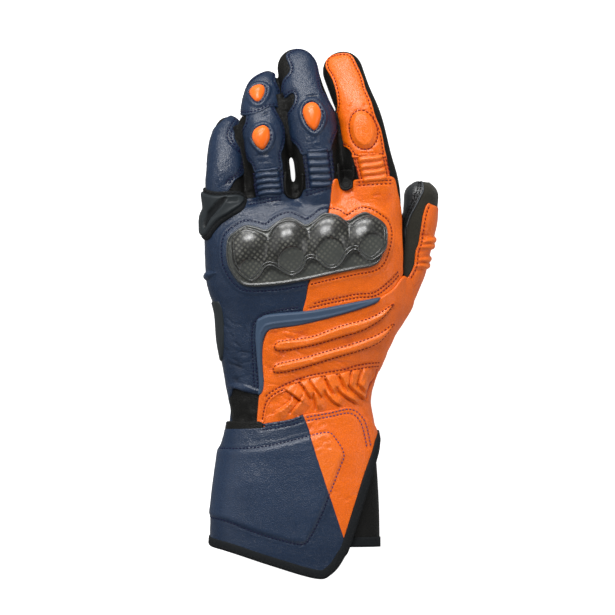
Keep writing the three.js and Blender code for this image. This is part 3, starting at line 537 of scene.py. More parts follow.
def nearest_on(points, path, closed):
    """Distance from each point to a path, and how far along the path its nearest place lies."""
    a = path if closed else path[:-1]
    way = (np.roll(path, -1, axis=0) if closed else path[1:]) - a
    length = np.linalg.norm(way, axis=1)
    start = np.concatenate([[0], np.cumsum(length)])[:-1]
    best = np.full(len(points), 1e9)
    where = np.zeros(len(points))
    for k in range(len(a)):
        f = np.clip(((points - a[k]) @ way[k]) / max(length[k] ** 2, 1e-12), 0, 1)
        gap = np.linalg.norm(points - a[k] - f[:, None] * way[k], axis=1)
        near = gap < best
        best[near] = gap[near]
        where[near] = start[k] + f[near] * length[k]
    return best, where


def within(points, outline):
    inside = np.zeros(len(points), bool)
    a, b = outline, np.roll(outline, -1, axis=0)
    for (x0, y0), (x1, y1) in zip(a, b):
        crosses = (y0 > points[:, 1]) != (y1 > points[:, 1])
        with np.errstate(divide="ignore", invalid="ignore"):
            at = x0 + (points[:, 1] - y0) * (x1 - x0) / (y1 - y0)
        inside ^= crosses & (points[:, 0] < at)
    return inside


def inset(outline, by, step=0.8):
    """A closed outline moved inwards, without the loops that tight corners would make."""
    way = np.roll(outline, -1, axis=0) - np.roll(outline, 1, axis=0)
    normal = unit(np.stack([-way[:, 1], way[:, 0]], axis=1))
    moved = outline + normal * by * np.sign(area_of(outline))
    gap, _ = nearest_on(moved, outline, True)
    keep = moved[(gap > 0.93 * abs(by)) & (within(moved, outline) == (by > 0))]
    return resample(keep, step, closed=True)


def stretch_of(path, start, end):
    """The part of a closed path between the points nearest to start and end, the way the path runs."""
    i = np.argmin(np.linalg.norm(path - start, axis=1))
    j = np.argmin(np.linalg.norm(path - end, axis=1))
    if j <= i:
        j += len(path)
    return path[np.arange(i, j + 1) % len(path)]


def rumple(points, size, seed, waves=9):
    """Smooth uneven waves about size long, between about -1 and 1."""
    rng = np.random.default_rng(seed)
    total = np.zeros(len(points))
    for _ in range(waves):
        way = unit(rng.normal(size=points.shape[1]))
        turn = points @ way * 2 * np.pi / (size * rng.uniform(0.7, 1.5))
        total += np.sin(turn + rng.uniform(0, 6.28))
    return total / math.sqrt(waves)


def smoothstep(x):
    x = np.clip(x, 0, 1)
    return x * x * (3 - 2 * x)


# Panels of leather laid on a chart


class Panel:
    """A piece of leather with a rolled edge, cut to an outline on a chart."""

    def __init__(self, chart, outline, thick=1.0, edge=0.8, spacing=0.68, base=0.0):
        self.chart = chart
        self.outline = resample(outline, spacing * 0.8, closed=True)
        self.thick, self.edge, self.spacing, self.base = thick, edge, spacing, base
        self.features = []
        self.rows = []
        self.sink = 1.3
        self.flat = None

    def groove(self, path, depth=0.45, width=0.75, closed=False, fade=0.0):
        """A stitched or creased line pressed into the leather; fade is the length of each end's run-out."""
        total = length_of(path)

        def feature(st, d):
            gap, run = nearest_on(st, path, closed)
            ends = smoothstep(np.minimum(run, total - run) / fade) if fade else 1.0
            return -depth * np.exp(-((gap / width) ** 2)) * ends

        self.features.append(feature)

    def mound(self, outline, height, width):
        """A raised place inside an outline, with a soft step."""

        def feature(st, d):
            gap, _ = nearest_on(st, outline, True)
            signed = np.where(within(st, outline), gap, -gap)
            return height * smoothstep(0.5 + signed / width)

        self.features.append(feature)

    def ridge(self, path, height, width, fade=0.0):
        self.groove(path, -height, width, fade=fade)

    def pleats(self, paths, height, slope, drop):
        """Overlapping pleats: each falls away slowly on one side of its path and sharply on the other."""

        def feature(st, d):
            total = np.zeros(len(st))
            for path in paths:
                length = length_of(path)
                gap, run = nearest_on(st, path, False)
                at = np.clip((run / length * (len(path) - 1)).astype(int), 0, len(path) - 2)
                way = path[at + 1] - path[at]
                away = st - path[at]
                slow = way[:, 0] * away[:, 1] - way[:, 1] * away[:, 0] > 0
                ends = smoothstep(np.minimum(run, length - run) / (0.35 * length))
                back = np.where(slow, 1 - gap / slope, 1 - gap / drop)
                total = np.maximum(total, height * np.clip(back, 0, 1) * (0.15 + 0.85 * ends))
            return total

        self.features.append(feature)

    def folds(self, paths, height, width):
        """Round-backed folds along paths, that meet in sharp valleys."""

        def feature(st, d):
            total = np.zeros(len(st))
            for path in paths:
                length = length_of(path)
                gap, run = nearest_on(st, path, False)
                ends = smoothstep(np.minimum(run, length - run) / (0.42 * length))
                reach = width * (0.3 + 0.7 * ends)
                back = np.sqrt(np.clip(1 - (gap / reach) ** 2, 0, 1))
                total = np.maximum(total, height * back * (0.35 + 0.65 * ends))
            return total

        self.features.append(feature)

    def wrinkles(self, place, size, way, count, seed, depth=0.32):
        """Fine short creases strewn over a place of the plan, running nearly one way; way is in degrees."""
        rng = np.random.default_rng(seed)
        middle = self.chart.st(spots([place]))[0]
        for _ in range(count):
            turn = math.radians(way + rng.normal(0, 14))
            ahead = np.array([math.cos(turn), math.sin(turn)])
            side = np.array([-ahead[1], ahead[0]])
            at = middle + ahead * rng.uniform(-0.5, 0.5) * size[0] + side * rng.uniform(-0.5, 0.5) * size[1]
            half = size[0] * rng.uniform(0.14, 0.32)
            bow = side * half * rng.uniform(-0.3, 0.3)
            path = open_curve([at - ahead * half, at + bow, at + ahead * half], 0.7)
            self.groove(path, depth * rng.uniform(0.4, 1), rng.uniform(0.45, 0.8), fade=half * 0.8)

    def waves(self, size, amount, seed, clear=3.0):
        self.features.append(lambda st, d: amount * rumple(st, size, seed) * smoothstep(d / clear))

    def extra(self, feature):
        self.features.append(feature)

    def relief(self, st):
        """Height over the chart, and how deep in a groove each point is."""
        st = np.atleast_2d(st)
        d, _ = nearest_on(st, self.outline, True)
        d = np.where(within(st, self.outline), d, 0)
        shapes = sum((f(st, d) for f in self.features), np.zeros(len(st)))
        lift = self.thick * np.sqrt(1 - (1 - np.minimum(d / self.edge, 1)) ** 2)
        return self.base + lift + shapes * smoothstep(d / (self.edge * 1.2)), shapes

    def build(self, name):
        """The panel's mesh: its worked top, a coarse underside sunk into the body, and a wall between."""
        s = self.spacing
        pitch = s * ROW_PITCH
        low, high = self.outline.min(axis=0), self.outline.max(axis=0)
        grid = []
        for k, y in enumerate(np.arange(low[1], high[1], pitch)):
            x = np.arange(low[0] + (k % 2) * s / 2, high[0], s)
            grid.append(np.stack([x, np.full(len(x), y)], axis=1))
        grid = np.vstack(grid)
        grid = grid[within(grid, self.outline)]
        gap, _ = nearest_on(grid, self.outline, True)
        inner = [grid[gap > self.edge * 0.75 + 0.3 * s]]
        inner += [inset(self.outline, self.edge * share, s * 0.8) for share in (0.1, 0.35, 0.75)]
        points, faces = triangles(self.outline, np.vstack(inner))
        heights, shapes = self.relief(points)
        n = len(self.outline)
        heights[:n] = self.base
        base, normal = self.chart.at(points)
        top = base + normal * heights[:, None]
        coarse = grid[gap > 2.5]
        column = np.floor(coarse[:, 0] / s).astype(int)
        row = np.round((coarse[:, 1] - low[1]) / pitch).astype(int)
        low_points, low_faces = triangles(self.outline, coarse[(column % 4 == 0) & (row % 4 == 0)])
        base, normal = self.chart.at(low_points)
        under = base + normal * (self.base - self.sink)
        start = len(top)
        faces = list(faces) + [(a + start, c + start, b + start) for a, b, c in low_faces]
        faces += [((k + 1) % n, k, k + start, (k + 1) % n + start) for k in range(n)]
        # The wall and underside get a low relief value, so the leather darkens them: partly the raw cut
        # edge, partly painted shade under the panel's edge.
        shade = np.concatenate([shapes, np.full(len(under), -0.45)])
        obj = make_object(name, np.vstack([top, under]), faces, shade)
        # The guard's flat attribute paints a reflection grey on the carbon's facets and plate.
        if self.flat is not None:
            point_values(obj.data, "flat", np.concatenate([self.flat(points), np.zeros(len(under))]))
        return obj


def triangles(outline, inner):
    """Triangles that fill a closed outline through inner points; the outline's points come first."""
    n = len(outline)
    points = np.vstack([outline, inner])
    edges = [(k, (k + 1) % n) for k in range(n)]
    filled = geometry.delaunay_2d_cdt([Vector(p) for p in points], edges, [], 1, 1e-6)
    verts, _, faces, origin = filled[:4]
    first = {}
    for index, olds in enumerate(origin):
        for old in olds:
            first[old] = index
    order = [first[k] for k in range(n)]
    taken = set(order)
    order += [k for k in range(len(verts)) if k not in taken]
    place = {old: new for new, old in enumerate(order)}
    out = np.array([verts[k] for k in order])
    faces = [tuple(place[i] for i in f) for f in faces]
    middle = np.array([out[list(f)].mean(axis=0) for f in faces])
    keep = within(middle, outline)
    return out, [f for f, k in zip(faces, keep) if k]


# Stitches


# Rings along a stitch: their places as shares of its length, and their widths as shares of its radius
STITCH_RINGS = [(-0.5, 0.25), (-0.36, 0.85), (0.0, 1.0), (0.36, 0.85), (0.5, 0.25)]
STITCH_SIDES = 6
STITCH_RADIUS, STITCH_PROUD = 0.42, 0.12
THREADS = {}


def stitch_template():
    points = []
    for x, r in STITCH_RINGS:
        for k in range(STITCH_SIDES):
            a = 2 * math.pi * k / STITCH_SIDES
            points.append((x, r * math.cos(a), r * math.sin(a)))
    faces = bands(len(STITCH_RINGS), STITCH_SIDES)
    faces.append(tuple(range(STITCH_SIDES))[::-1])
    faces.append(tuple(range(len(points) - STITCH_SIDES, len(points))))
    return np.array(points), faces


def add_stitches(thread, at, way, normal, length, radius):
    """Small bars of thread at given places, gathered by thread."""
    points, faces = stitch_template()
    side = unit(np.cross(normal, way))
    store = THREADS.setdefault(thread, [[], []])
    for p, x, y, z in zip(at, unit(way), side, normal):
        start = len(store[0]) * len(points)
        round_it = points[:, 1:2] * radius * y + points[:, 2:] * radius * z
        store[0].append(p + points[:, :1] * length * x + round_it)
        store[1] += [tuple(i + start for i in f) for f in faces]


def sew(panel, path, thread, closed=False, pitch=2.2, length=1.45, groove=0.42, width=0.75):
    """A groove with a row of stitches in it, along a path on a panel."""
    if groove:
        panel.groove(path, groove, width, closed)
    marks = resample(path, pitch, closed)
    nexts = np.roll(marks, -1, axis=0) if closed else marks[1:]
    starts = marks if closed else marks[:-1]
    panel.rows.append((starts, nexts, thread, length))


def lay_stitches(panel):
    """Places a panel's stitches once all its grooves are known."""
    for starts, nexts, thread, length in panel.rows:
        middle = (starts + nexts) / 2
        step = unit(nexts - starts) * 0.4
        base, normal = panel.chart.at(middle)
        way = panel.chart.at(middle + step)[0] - panel.chart.at(middle - step)[0]
        lift, _ = panel.relief(middle)
        at = base + normal * (lift + STITCH_PROUD)[:, None]
        add_stitches(thread, at, way, normal, length, STITCH_RADIUS)


def finish_threads():
    for thread, (points, faces) in THREADS.items():
        dress(make_object("stitches_" + thread, np.vstack(points), faces), *THREAD_LOOKS[thread])
# Materials


def paint(name, build):
    mat = bpy.data.materials.new(name)
    mat.use_nodes = True
    tree = mat.node_tree
    shader = next(n for n in tree.nodes if n.type == "BSDF_PRINCIPLED")
    build(tree, shader)
    return mat


def feed(tree, socket, value):
    """Gives a socket its value, or the output of another node."""
    if isinstance(value, bpy.types.NodeSocket):
        tree.links.new(value, socket)
    else:
        socket.default_value = value


def set_inputs(tree, node, **inputs):
    """Sets a node's inputs, each by its name with lines for the spaces."""
    for name, value in inputs.items():
        feed(tree, node.inputs[name.replace("_", " ")], value)


def add(tree, kind, settings=None, **inputs):
    """A node with its settings and its inputs, which are values or other nodes' outputs."""
    made = tree.nodes.new(kind)
    for key, value in (settings or {}).items():
        setattr(made, key, value)
    set_inputs(tree, made, **inputs)
    return made


def noisy(tree, where, scale, detail, **more):
    return add(tree, "ShaderNodeTexNoise", None, Vector=where, Scale=scale, Detail=detail, **more).outputs


def bumped(tree, height, strength, distance, **under):
    inputs = dict(Height=height, Strength=strength, Distance=distance, **under)
    return add(tree, "ShaderNodeBump", None, **inputs).outputs[0]


def reckon(tree, operation, *values):
    """A sum on one or two values."""
    node = add(tree, "ShaderNodeMath", {"operation": operation})
    for socket, value in zip(node.inputs, values):
        feed(tree, socket, value)
    return node.outputs[0]


def srgb(r, g, b):
    def linear(c):
        c /= 255
        return c / 12.92 if c <= 0.04045 else ((c + 0.055) / 1.055) ** 2.4

    return (linear(r), linear(g), linear(b), 1.0)


def mixed(tree, factor, a, b, mode="MIX"):
    node = add(tree, "ShaderNodeMix", {"data_type": "RGBA", "blend_type": mode})
    for index, value in ((0, factor), (6, a), (7, b)):
        feed(tree, node.inputs[index], value)
    return node.outputs[2]


def ranged(tree, value, low, high, to_low=0.0, to_high=1.0):
    inputs = dict(Value=value, From_Min=low, From_Max=high, To_Min=to_low, To_Max=to_high)
    return add(tree, "ShaderNodeMapRange", None, **inputs).outputs[0]


def leather(name, colour, dark, light, rough=0.42, grain=0.9, grain_size=1.1, bump=0.5, **gloss):
    """Grained leather: pebbled cells, finer pores, uneven dye; painted shade in grooves, painted highlight
    on ridges.
    """
    colour, dark, light = (srgb(*tone) for tone in (colour, dark, light))

    def build(tree, shader):
        where = add(tree, "ShaderNodeTexCoord").outputs["Object"]
        bent = mixed(tree, 0.0022, where, noisy(tree, where, 420.0, 2.0)["Color"], "ADD")
        edges = {"feature": "DISTANCE_TO_EDGE"}
        cells = add(tree, "ShaderNodeTexVoronoi", edges, Vector=bent, Scale=1000.0 / grain_size)
        pebble = ranged(tree, cells.outputs["Distance"], 0.0, 0.28)
        pores = noisy(tree, where, 2300.0, 3.0, Roughness=0.6)[0]
        broad = noisy(tree, where, 46.0, 5.0, Roughness=0.6)[0]
        fold = noisy(tree, where, 210.0, 6.0, Roughness=0.65, Distortion=0.6)[0]
        relief_shade = add(tree, "ShaderNodeAttribute", {"attribute_name": "relief_shade"}).outputs["Fac"]
        tone = mixed(tree, ranged(tree, broad, 0.3, 0.6, 0.88, 1.0), dark, colour)
        tone = mixed(tree, ranged(tree, fold, 0.55, 0.8, 0.0, 0.1), tone, light)
        # Painted shade: darker where the relief is pressed in, as in grooves, valleys and the panels'
        # walls.
        tone = mixed(tree, ranged(tree, relief_shade, -0.2, -1.0, 0.0, 0.85), tone, dark)
        # Painted highlight: paler where the relief is raised, as on mounds, puffs and folds.
        tone = mixed(tree, ranged(tree, relief_shade, 0.35, 1.4, 0.0, 0.18), tone, light)
        tone = mixed(tree, ranged(tree, pebble, 0.0, 0.5, 0.35 * grain, 0.0), tone, dark)
        soft = bumped(tree, fold, bump * 0.4, 0.00035)
        fine = bumped(tree, pebble, bump * grain, 0.00034, Normal=soft)
        set_inputs(
            tree, shader, Base_Color=tone,
            Roughness=ranged(tree, fold, 0.3, 0.72, rough - 0.05, rough + 0.05),
            Normal=bumped(tree, pores, bump * 0.6, 0.00012, Normal=fine),
            Coat_Normal=bumped(tree, pebble, bump * grain * 0.45, 0.0003),
            Specular_IOR_Level=gloss.get("level", 0.3), IOR=gloss.get("ior", 1.45),
            Sheen_Weight=gloss.get("sheen", 0.0), Sheen_Roughness=0.4,
            Coat_Weight=gloss.get("coat", 0.0), Coat_Roughness=0.25)

    return paint(name, build)


WEAVE_PITCH, WEAVE_TURN = 2.45, 37  # mm and degrees


def carbon(name, colour, reflection_grey, dot):
    """Clear-coated woven carbon: pale tow crossings in a diagonal lattice on black."""
    colour, reflection_grey, dot = (srgb(*tone) for tone in (colour, reflection_grey, dot))

    def build(tree, shader):
        where = add(tree, "ShaderNodeTexCoord").outputs["Object"]
        turn = (0, 0, math.radians(WEAVE_TURN))
        turned = add(tree, "ShaderNodeMapping", None, Vector=where, Rotation=turn)
        axes = add(tree, "ShaderNodeSeparateXYZ", None, Vector=turned.outputs[0])
        waves = []
        for axis in (0, 1):
            scaled = reckon(tree, "MULTIPLY", axes.outputs[axis], math.pi / (WEAVE_PITCH * MM))
            waves.append(reckon(tree, "SINE", scaled))
        both = reckon(tree, "MULTIPLY", *waves)
        size = ranged(tree, reckon(tree, "ABSOLUTE", both), 0.3, 0.9)
        cloud = noisy(tree, where, 110.0, 3.0)[0]
        strands = noisy(tree, where, 1500.0, 2.0)[0]
        amount = reckon(tree, "MULTIPLY", size, ranged(tree, cloud, 0.36, 0.66, 0.05, 0.7))
        # Painted reflection: the carbon turns grey where the flat attribute marks the facets and the plate.
        flat = add(tree, "ShaderNodeAttribute", {"attribute_name": "flat"}).outputs["Fac"]
        tone = mixed(tree, amount, mixed(tree, flat, colour, reflection_grey), dot)
        tone = mixed(tree, ranged(tree, strands, 0.4, 0.7, 0.0, 0.12), tone, dot)
        set_inputs(
            tree, shader, Base_Color=tone, Roughness=ranged(tree, both, -0.6, 0.6, 0.3, 0.5),
            Coat_Normal=bumped(tree, cloud, 0.15, 0.0002), Normal=bumped(tree, both, 0.25, 0.0001),
            Coat_Weight=0.6, Coat_Roughness=0.2, Coat_IOR=1.5)

    return paint(name, build)


def dress(obj, material, slot, *nodes):
    obj.data.materials.clear()
    obj.data.materials.append(material)
    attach(obj, "root")
    if nodes:
        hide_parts(*nodes)
    return obj


# Looks: the colour, its dark and its light are sRGB values of 0 to 255
# The dark also serves as painted shade in grooves, and the light as painted highlight on raised shapes.

LOOKS = {
    "navy": leather(
        "navy_leather", (26, 43, 67), (11, 20, 37), (52, 72, 102), rough=0.38, level=0.2, coat=0.5),
    "orange": leather(
        "orange_leather", (236, 106, 5), (176, 52, 0), (248, 138, 44), rough=0.36, level=0.2, coat=0.55),
    "black": leather("black_leather", (24, 24, 23), (12, 12, 12), (50, 50, 48), ior=1.3),
    "gloss": leather(
        "gloss_black_leather", (44, 46, 48), (20, 21, 22), (74, 77, 79), rough=0.34, coat=0.6),
    "suede": leather(
        "grey_suede", (51, 50, 45), (33, 33, 29), (71, 70, 64),
        rough=0.85, sheen=0.1, level=0.1, ior=1.15),
    "fabric": leather(
        "black_fabric", (64, 65, 65), (44, 45, 45), (84, 86, 86),
        rough=0.9, grain_size=0.8, level=0.03, ior=1.05),
    "piping": leather(
        "grey_piping", (76, 80, 84), (50, 53, 57), (106, 110, 114), rough=0.5, grain=0.2),
    "insert": leather(
        "orange_moulding", (240, 108, 28), (228, 92, 16), (255, 146, 66),
        rough=0.3, grain=0.1, bump=0.08, coat=0.3),
    "rubber": leather(
        "grey_blue_rubber", (58, 75, 97), (42, 56, 76), (80, 98, 120), rough=0.5, grain=0.2, bump=0.12),
    "slider": leather(
        "dark_rubber", (38, 43, 46), (20, 23, 25), (60, 66, 70), rough=0.45, grain=0.2, bump=0.12),
    # Its grey is a painted reflection, laid on the guard's facets and plate.
    "carbon": carbon("carbon_weave", (13, 14, 14), (62, 65, 62), (112, 112, 102)),
    "rim": leather(
        "gloss_black_rim", (62, 64, 64), (44, 46, 46), (88, 90, 90),
        rough=0.16, grain=0.05, bump=0.05, coat=1.0, level=0.8),
    "binding": leather(
        "black_binding", (33, 35, 37), (18, 19, 20), (56, 58, 60),
        rough=0.6, grain_size=0.7, level=0.2, ior=1.2),
}
THREAD_TONES = {
    "navy": ((12, 15, 52), (6, 8, 30), (34, 42, 84), "navy_leather"),
    "maroon": ((122, 26, 12), (80, 14, 6), (160, 60, 30), "orange_leather"),
    "purple": ((96, 60, 96), (60, 36, 70), (150, 110, 140), "orange_leather"),
    "black": ((20, 20, 20), (10, 10, 10), (44, 44, 44), "black_binding"),
}
THREAD_LOOKS = {
    thread: (leather(thread + "_thread", *tones, rough=0.7, grain=0.2), slot)
    for thread, (*tones, slot) in THREAD_TONES.items()
}
# Plan outlines, in the photograph's grid

MIDDLE_BACK = [
    (286.1, 53), (292.6, 48.8), (297.2, 47.6), (303.3, 48.4), (309.5, 51.5), (314, 56.4), (317.3, 62.2),
    (319.6, 71.4), (321.1, 82.8), (323.4, 90.5), (326.5, 94.3), (332.6, 105.8), (336.4, 115),
    (337.6, 124.2), (336.4, 135.6), (333, 144.8), (330.8, 151.5), (315.6, 153), (301.8, 155.5),
    (295.7, 146.3), (288.8, 135.6), (286.1, 124.2), (286.5, 117.3), (289.6, 108.9), (293, 103.5),
    (294.2, 96.5), (291.5, 93.2), (283.4, 99.7), (281.1, 93.6), (280.8, 85.9), (282.7, 79),
    (287.3, 73.7), (289.6, 68.3), (287.3, 61.4), (285.4, 56.5)]
MIDDLE_INSERT = [
    (302.2, 113.5), (304.1, 105.8), (310.2, 102), (316.3, 103.1), (320.5, 108.9), (321.7, 116.5),
    (318.6, 126.5), (314.8, 130.7), (311.7, 129.5), (306.4, 124.2)]
MIDDLE_SURROUND = [
    (298.4, 112.7), (301, 104.3), (307.2, 98.9), (315.6, 98.2), (322.5, 104.3), (326.7, 113.5),
    (326.3, 122.6), (321.7, 131.1), (314.8, 135.6), (307.2, 131.1), (301, 122.6)]
MIDDLE_STRETCH = [
    (302, 152), (316, 149.5), (332, 148.5), (333.5, 160), (333.5, 184), (316, 189), (305.5, 190),
    (304.5, 172)]

RING_TIP = [
    (245.6, 89), (248.2, 82.8), (253.6, 76.7), (261.2, 72.5), (268.1, 71), (272.7, 71.8), (275.6, 78),
    (277.7, 85.1), (280.4, 92.8), (280.8, 101.2), (279, 107.5), (274.3, 106.5), (267.4, 108.3),
    (259.7, 112.6), (248.2, 115.5), (239.4, 114.5), (240.4, 105), (242.1, 98.1)]
RING_BACK = [
    (247.5, 110), (259, 107), (272, 101), (277.7, 112.5), (281.9, 120.3), (285, 128.8), (285.7, 139.5),
    (284.2, 148.6), (281.9, 154.8), (282, 170.5), (256, 174), (251, 165), (246, 157), (241.7, 135.6),
    (242.1, 130.3), (244.4, 123.4)]
RING_TIP_INSERT = [
    (248.6, 92.8), (251.3, 87.4), (258.2, 84), (263.5, 85.1), (265.5, 89), (264.7, 94.3), (261.2, 100.4),
    (257.4, 102.1), (252.8, 99.7)]
RING_TIP_SURROUND = [
    (245.8, 93.6), (250, 86), (260.5, 81.7), (268.9, 85.1), (270.8, 89), (268.9, 96.6), (263.5, 104.3),
    (256.7, 106.6), (249.8, 102.7)]
RING_INSERT = [
    (251.7, 135.6), (254, 129.5), (262, 124.9), (268.1, 127.2), (270.4, 133.3), (269.7, 141),
    (265.1, 148.6), (262, 150.2), (256.7, 147.1), (252.4, 141)]
RING_SURROUND = [
    (248.6, 136.4), (252.8, 126.5), (262, 121.9), (270.4, 124.2), (275, 134.1), (274.3, 141.8),
    (269.7, 150.2), (261.2, 154), (254.4, 148.6), (249.8, 142.5)]
RING_STRETCH = [
    (255, 171), (268, 168.5), (283, 166.5), (284, 180), (284, 194), (270, 197), (255.5, 198),
    (253.5, 186)]

INDEX_BACK = [
    (325.3, 62), (327.5, 57.2), (333.5, 53.7), (341.1, 52), (348.3, 52.4), (352.6, 55), (356, 60.8),
    (360.3, 70), (363.6, 78.3), (366.8, 89.8), (371.7, 101.2), (375.8, 115.6), (381.3, 129),
    (384, 141.4), (385.2, 149.1), (386, 157), (372, 156.5), (352.5, 158.5), (351, 153.5), (345.9, 148.1),
    (341.1, 145.3), (340.2, 141.4), (339.7, 131.9), (338.3, 122.3), (336.2, 114.6), (336.8, 107),
    (336.2, 97.4), (334, 86.9), (330.6, 77.3), (325.3, 67.8)]
INDEX_STRETCH = [
    (353, 155.5), (372, 153), (386, 153.5), (388.3, 163), (389.5, 180), (375, 183), (360, 184),
    (356.5, 172)]

PINKY_BACK = [
    (240, 116), (233, 114.4), (225, 117.3), (217, 124), (210, 135), (204, 152), (199, 170), (197, 190),
    (205, 197), (223, 197), (230.5, 189), (236.5, 180), (244.5, 173), (245.4, 160), (242.6, 152),
    (237.2, 142), (236.2, 131)]
PINKY_SEAM = [
    (239, 117.5), (235.6, 131), (236.4, 142), (241.8, 152), (244.8, 160), (243.8, 172.5), (236.5, 179),
    (233, 183.5)]

HAND_NAVY = [
    (246, 198.5), (267, 196), (283, 193.5), (286, 195.2), (290, 198), (295.5, 198.3), (300, 196),
    (302.8, 190.5), (311, 188), (323, 184.5), (333.5, 181.5), (331.5, 195), (330, 207), (322, 245),
    (309.4, 281), (304.8, 308), (303.8, 313), (284, 316), (268, 319.5), (260.5, 324), (258.5, 335),
    (259.5, 361), (261, 392), (258, 394.5), (243, 391.5), (233, 389), (230, 396), (228.5, 404),
    (229, 414), (232, 424), (214, 426), (209, 400), (207, 378), (208, 360), (204, 335), (199, 300),
    (190, 270), (184, 240), (184, 215), (196, 205), (225, 203)]
HAND_ORANGE = [
    (333.5, 180.5), (345, 180.3), (355, 179.9), (375, 178.5), (393.5, 177.3), (398.5, 194), (402, 217),
    (403, 249), (403, 267), (402.5, 276), (392, 290.5), (377, 301), (357.9, 303), (330, 308.5),
    (303.6, 313), (306.5, 296), (309.4, 281), (322, 245), (329.5, 207)]

WRIST_PANEL = [
    (268, 331), (275, 328), (303.2, 323.5), (339.7, 314), (372.8, 303.5), (379, 298), (392, 289),
    (403, 276), (416, 284), (430, 300), (425, 330), (412, 352), (396, 370), (380, 372), (376.1, 368.5),
    (357.1, 371.5), (344.6, 375.5), (316.4, 380.5), (303.2, 384), (290.7, 389), (273.3, 398.5),
    (268, 408), (264.5, 423), (257.5, 422.5), (258.5, 405), (260, 394), (263.5, 384), (263, 370),
    (262, 350)]
QUILT_UPPER = [
    (275.5, 344), (282.4, 340.6), (311.5, 336.4), (340.5, 325.7), (369.5, 317.4), (391, 303.5),
    (389.5, 307), (377, 320.7), (361.2, 329.8), (339.7, 336.9), (311.5, 345.1), (282, 350.4),
    (275, 348.2)]
QUILT_LOWER = [
    (273.6, 369.3), (278.3, 363.8), (305.7, 357.2), (328, 350.5), (352.9, 343.1), (377, 333.1),
    (391, 321.5), (388, 328), (377, 341.4), (361.2, 348.9), (340.5, 355.5), (319.8, 362.1),
    (294.9, 369.6), (276.6, 372.6)]
GATHERS = [
    (266, 398), (290.7, 384), (316.4, 376), (344.6, 371), (376.1, 364), (390, 366), (396, 385),
    (386, 405), (384, 422), (378, 440), (368, 436), (352, 411), (330, 414), (304, 419), (285, 424),
    (262, 428), (261, 414)]

FLAP_NAVY = [
    (224, 429.5), (262, 427), (262, 423.6), (289, 419), (303, 414.2), (306, 420), (343, 534),
    (345.5, 543), (340.5, 554), (334, 564.5), (327, 571), (320.5, 573.6), (303, 570), (265.5, 558.3),
    (227, 545.8), (207, 537.5), (192, 531), (196, 500), (199, 475), (205, 450), (210, 430)]
FLAP_ORANGE = [
    (300, 415), (330, 410), (352, 406.2), (363, 415.5), (374, 424.5), (376.5, 432), (376.5, 441),
    (375, 449), (367.5, 474), (346.8, 541), (343.5, 545), (338, 528), (298, 420)]
FLAP_PAD = [
    (200, 449), (222, 448.5), (251, 448), (276.5, 444), (308, 436), (327.6, 432), (335, 438),
    (343.5, 453.6), (340, 466), (330, 492), (321, 515), (311, 535), (302, 543.5), (276.5, 538),
    (251, 530), (225.5, 520), (190, 508)]
FLAP_EDGE = [
    (377, 434), (376.5, 441), (375, 449), (367.5, 474), (346.8, 541), (340.5, 554), (334, 564.5),
    (327, 571), (320.5, 573.6), (303, 570), (265.5, 558.3), (227, 545.8), (207, 537.5), (192, 531)]

THUMB_GLOSS = [
    (419, 179), (422.3, 181.2), (423.6, 187.2), (420.6, 196.7), (415.5, 207), (410.4, 216.5),
    (406.8, 227), (403, 240), (398, 240), (396, 225), (398, 205), (404, 192), (412, 183)]
THUMB_SUEDE = [
    (421, 178.5), (428, 179.5), (434, 183), (440, 194), (444, 207), (437.5, 211), (432, 206), (427, 205),
    (423.6, 216), (421.2, 231), (419, 244), (416, 253), (414.6, 265), (406, 282), (403, 276),
    (403.5, 250), (406.5, 227), (410.4, 216.5), (415.5, 207), (420.6, 196.7), (423.4, 187.2)]
THUMB_ORANGE = [
    (427.7, 203.4), (433.3, 204.7), (438.5, 209), (446, 215), (444, 235), (438, 255), (433, 275),
    (427, 298), (412, 305), (398, 300), (404.5, 283), (409.5, 275), (414, 265), (415.4, 252),
    (418.4, 243.2), (420.5, 230.3), (423, 214.8)]
THUMB_SEAM = [(421.5, 179.5), (423.3, 187.2), (420.3, 196.7), (415.2, 207), (410.1, 216.5), (406.5, 227)]
THUMB_FOLDS = [
    [(423, 242), (428, 240.5), (432, 240), (437, 239)],
    [(421, 247), (426, 246.5), (431, 246), (436, 246)],
    [(418, 260.5), (423, 259.5), (428, 259), (433, 258)],
    [(416, 266), (421, 265.5), (427, 265), (432, 264.5)],
]

GATHER_PLEATS = [
    [(282, 387), (290, 391.5), (297, 396.5), (304, 402.5)],
    [(299, 379), (304.5, 386.5), (308.5, 393), (313.5, 401)],
    [(309, 377), (314, 385), (318.5, 391.5), (324, 398.5)],
    [(324, 373), (328, 380.5), (331, 388), (335.5, 395)],
    [(338, 370), (341.5, 377.5), (344.5, 385), (347.5, 392)],
    [(353, 366), (351.5, 373), (350, 381), (348.5, 388)],
    [(364, 364), (361, 372), (358, 380), (356.5, 388)],
]
GATHER_SPIKES = [
    [(293, 396), (290, 402), (283, 408), (272, 414)],
    [(304.5, 392), (302, 399), (296, 407), (289, 414)],
    [(315, 390), (315.5, 397), (317, 404), (316, 411)],
    [(325, 388), (328.5, 395.5), (334, 401.5), (343, 406.5)],
    [(336.5, 384.5), (341, 392), (348.5, 398), (358, 404)],
    [(347, 382.5), (353, 389.5), (359, 395), (365, 400)],
    [(356, 381), (360, 387), (364, 393)],
]
GATHER_CREASES = [
    [(292, 396), (298, 399.5), (303, 403)], [(302.7, 385.7), (307.1, 392), (312.5, 401)],
    [(312.5, 387.5), (318, 393), (323.2, 399.5)], [(326.5, 381.3), (329.6, 388.4), (334.4, 395.6)]]
WEB_TONGUE = [
    (337.4, 172), (338.3, 180), (340, 186), (343.6, 190), (347.9, 190.1), (351.6, 187), (353.9, 180),
    (354.2, 172), (346, 170)]
WRIST_OPENING = [(228, 392), (240, 389), (262, 391), (262, 426), (240, 426), (226, 425), (225, 405)]
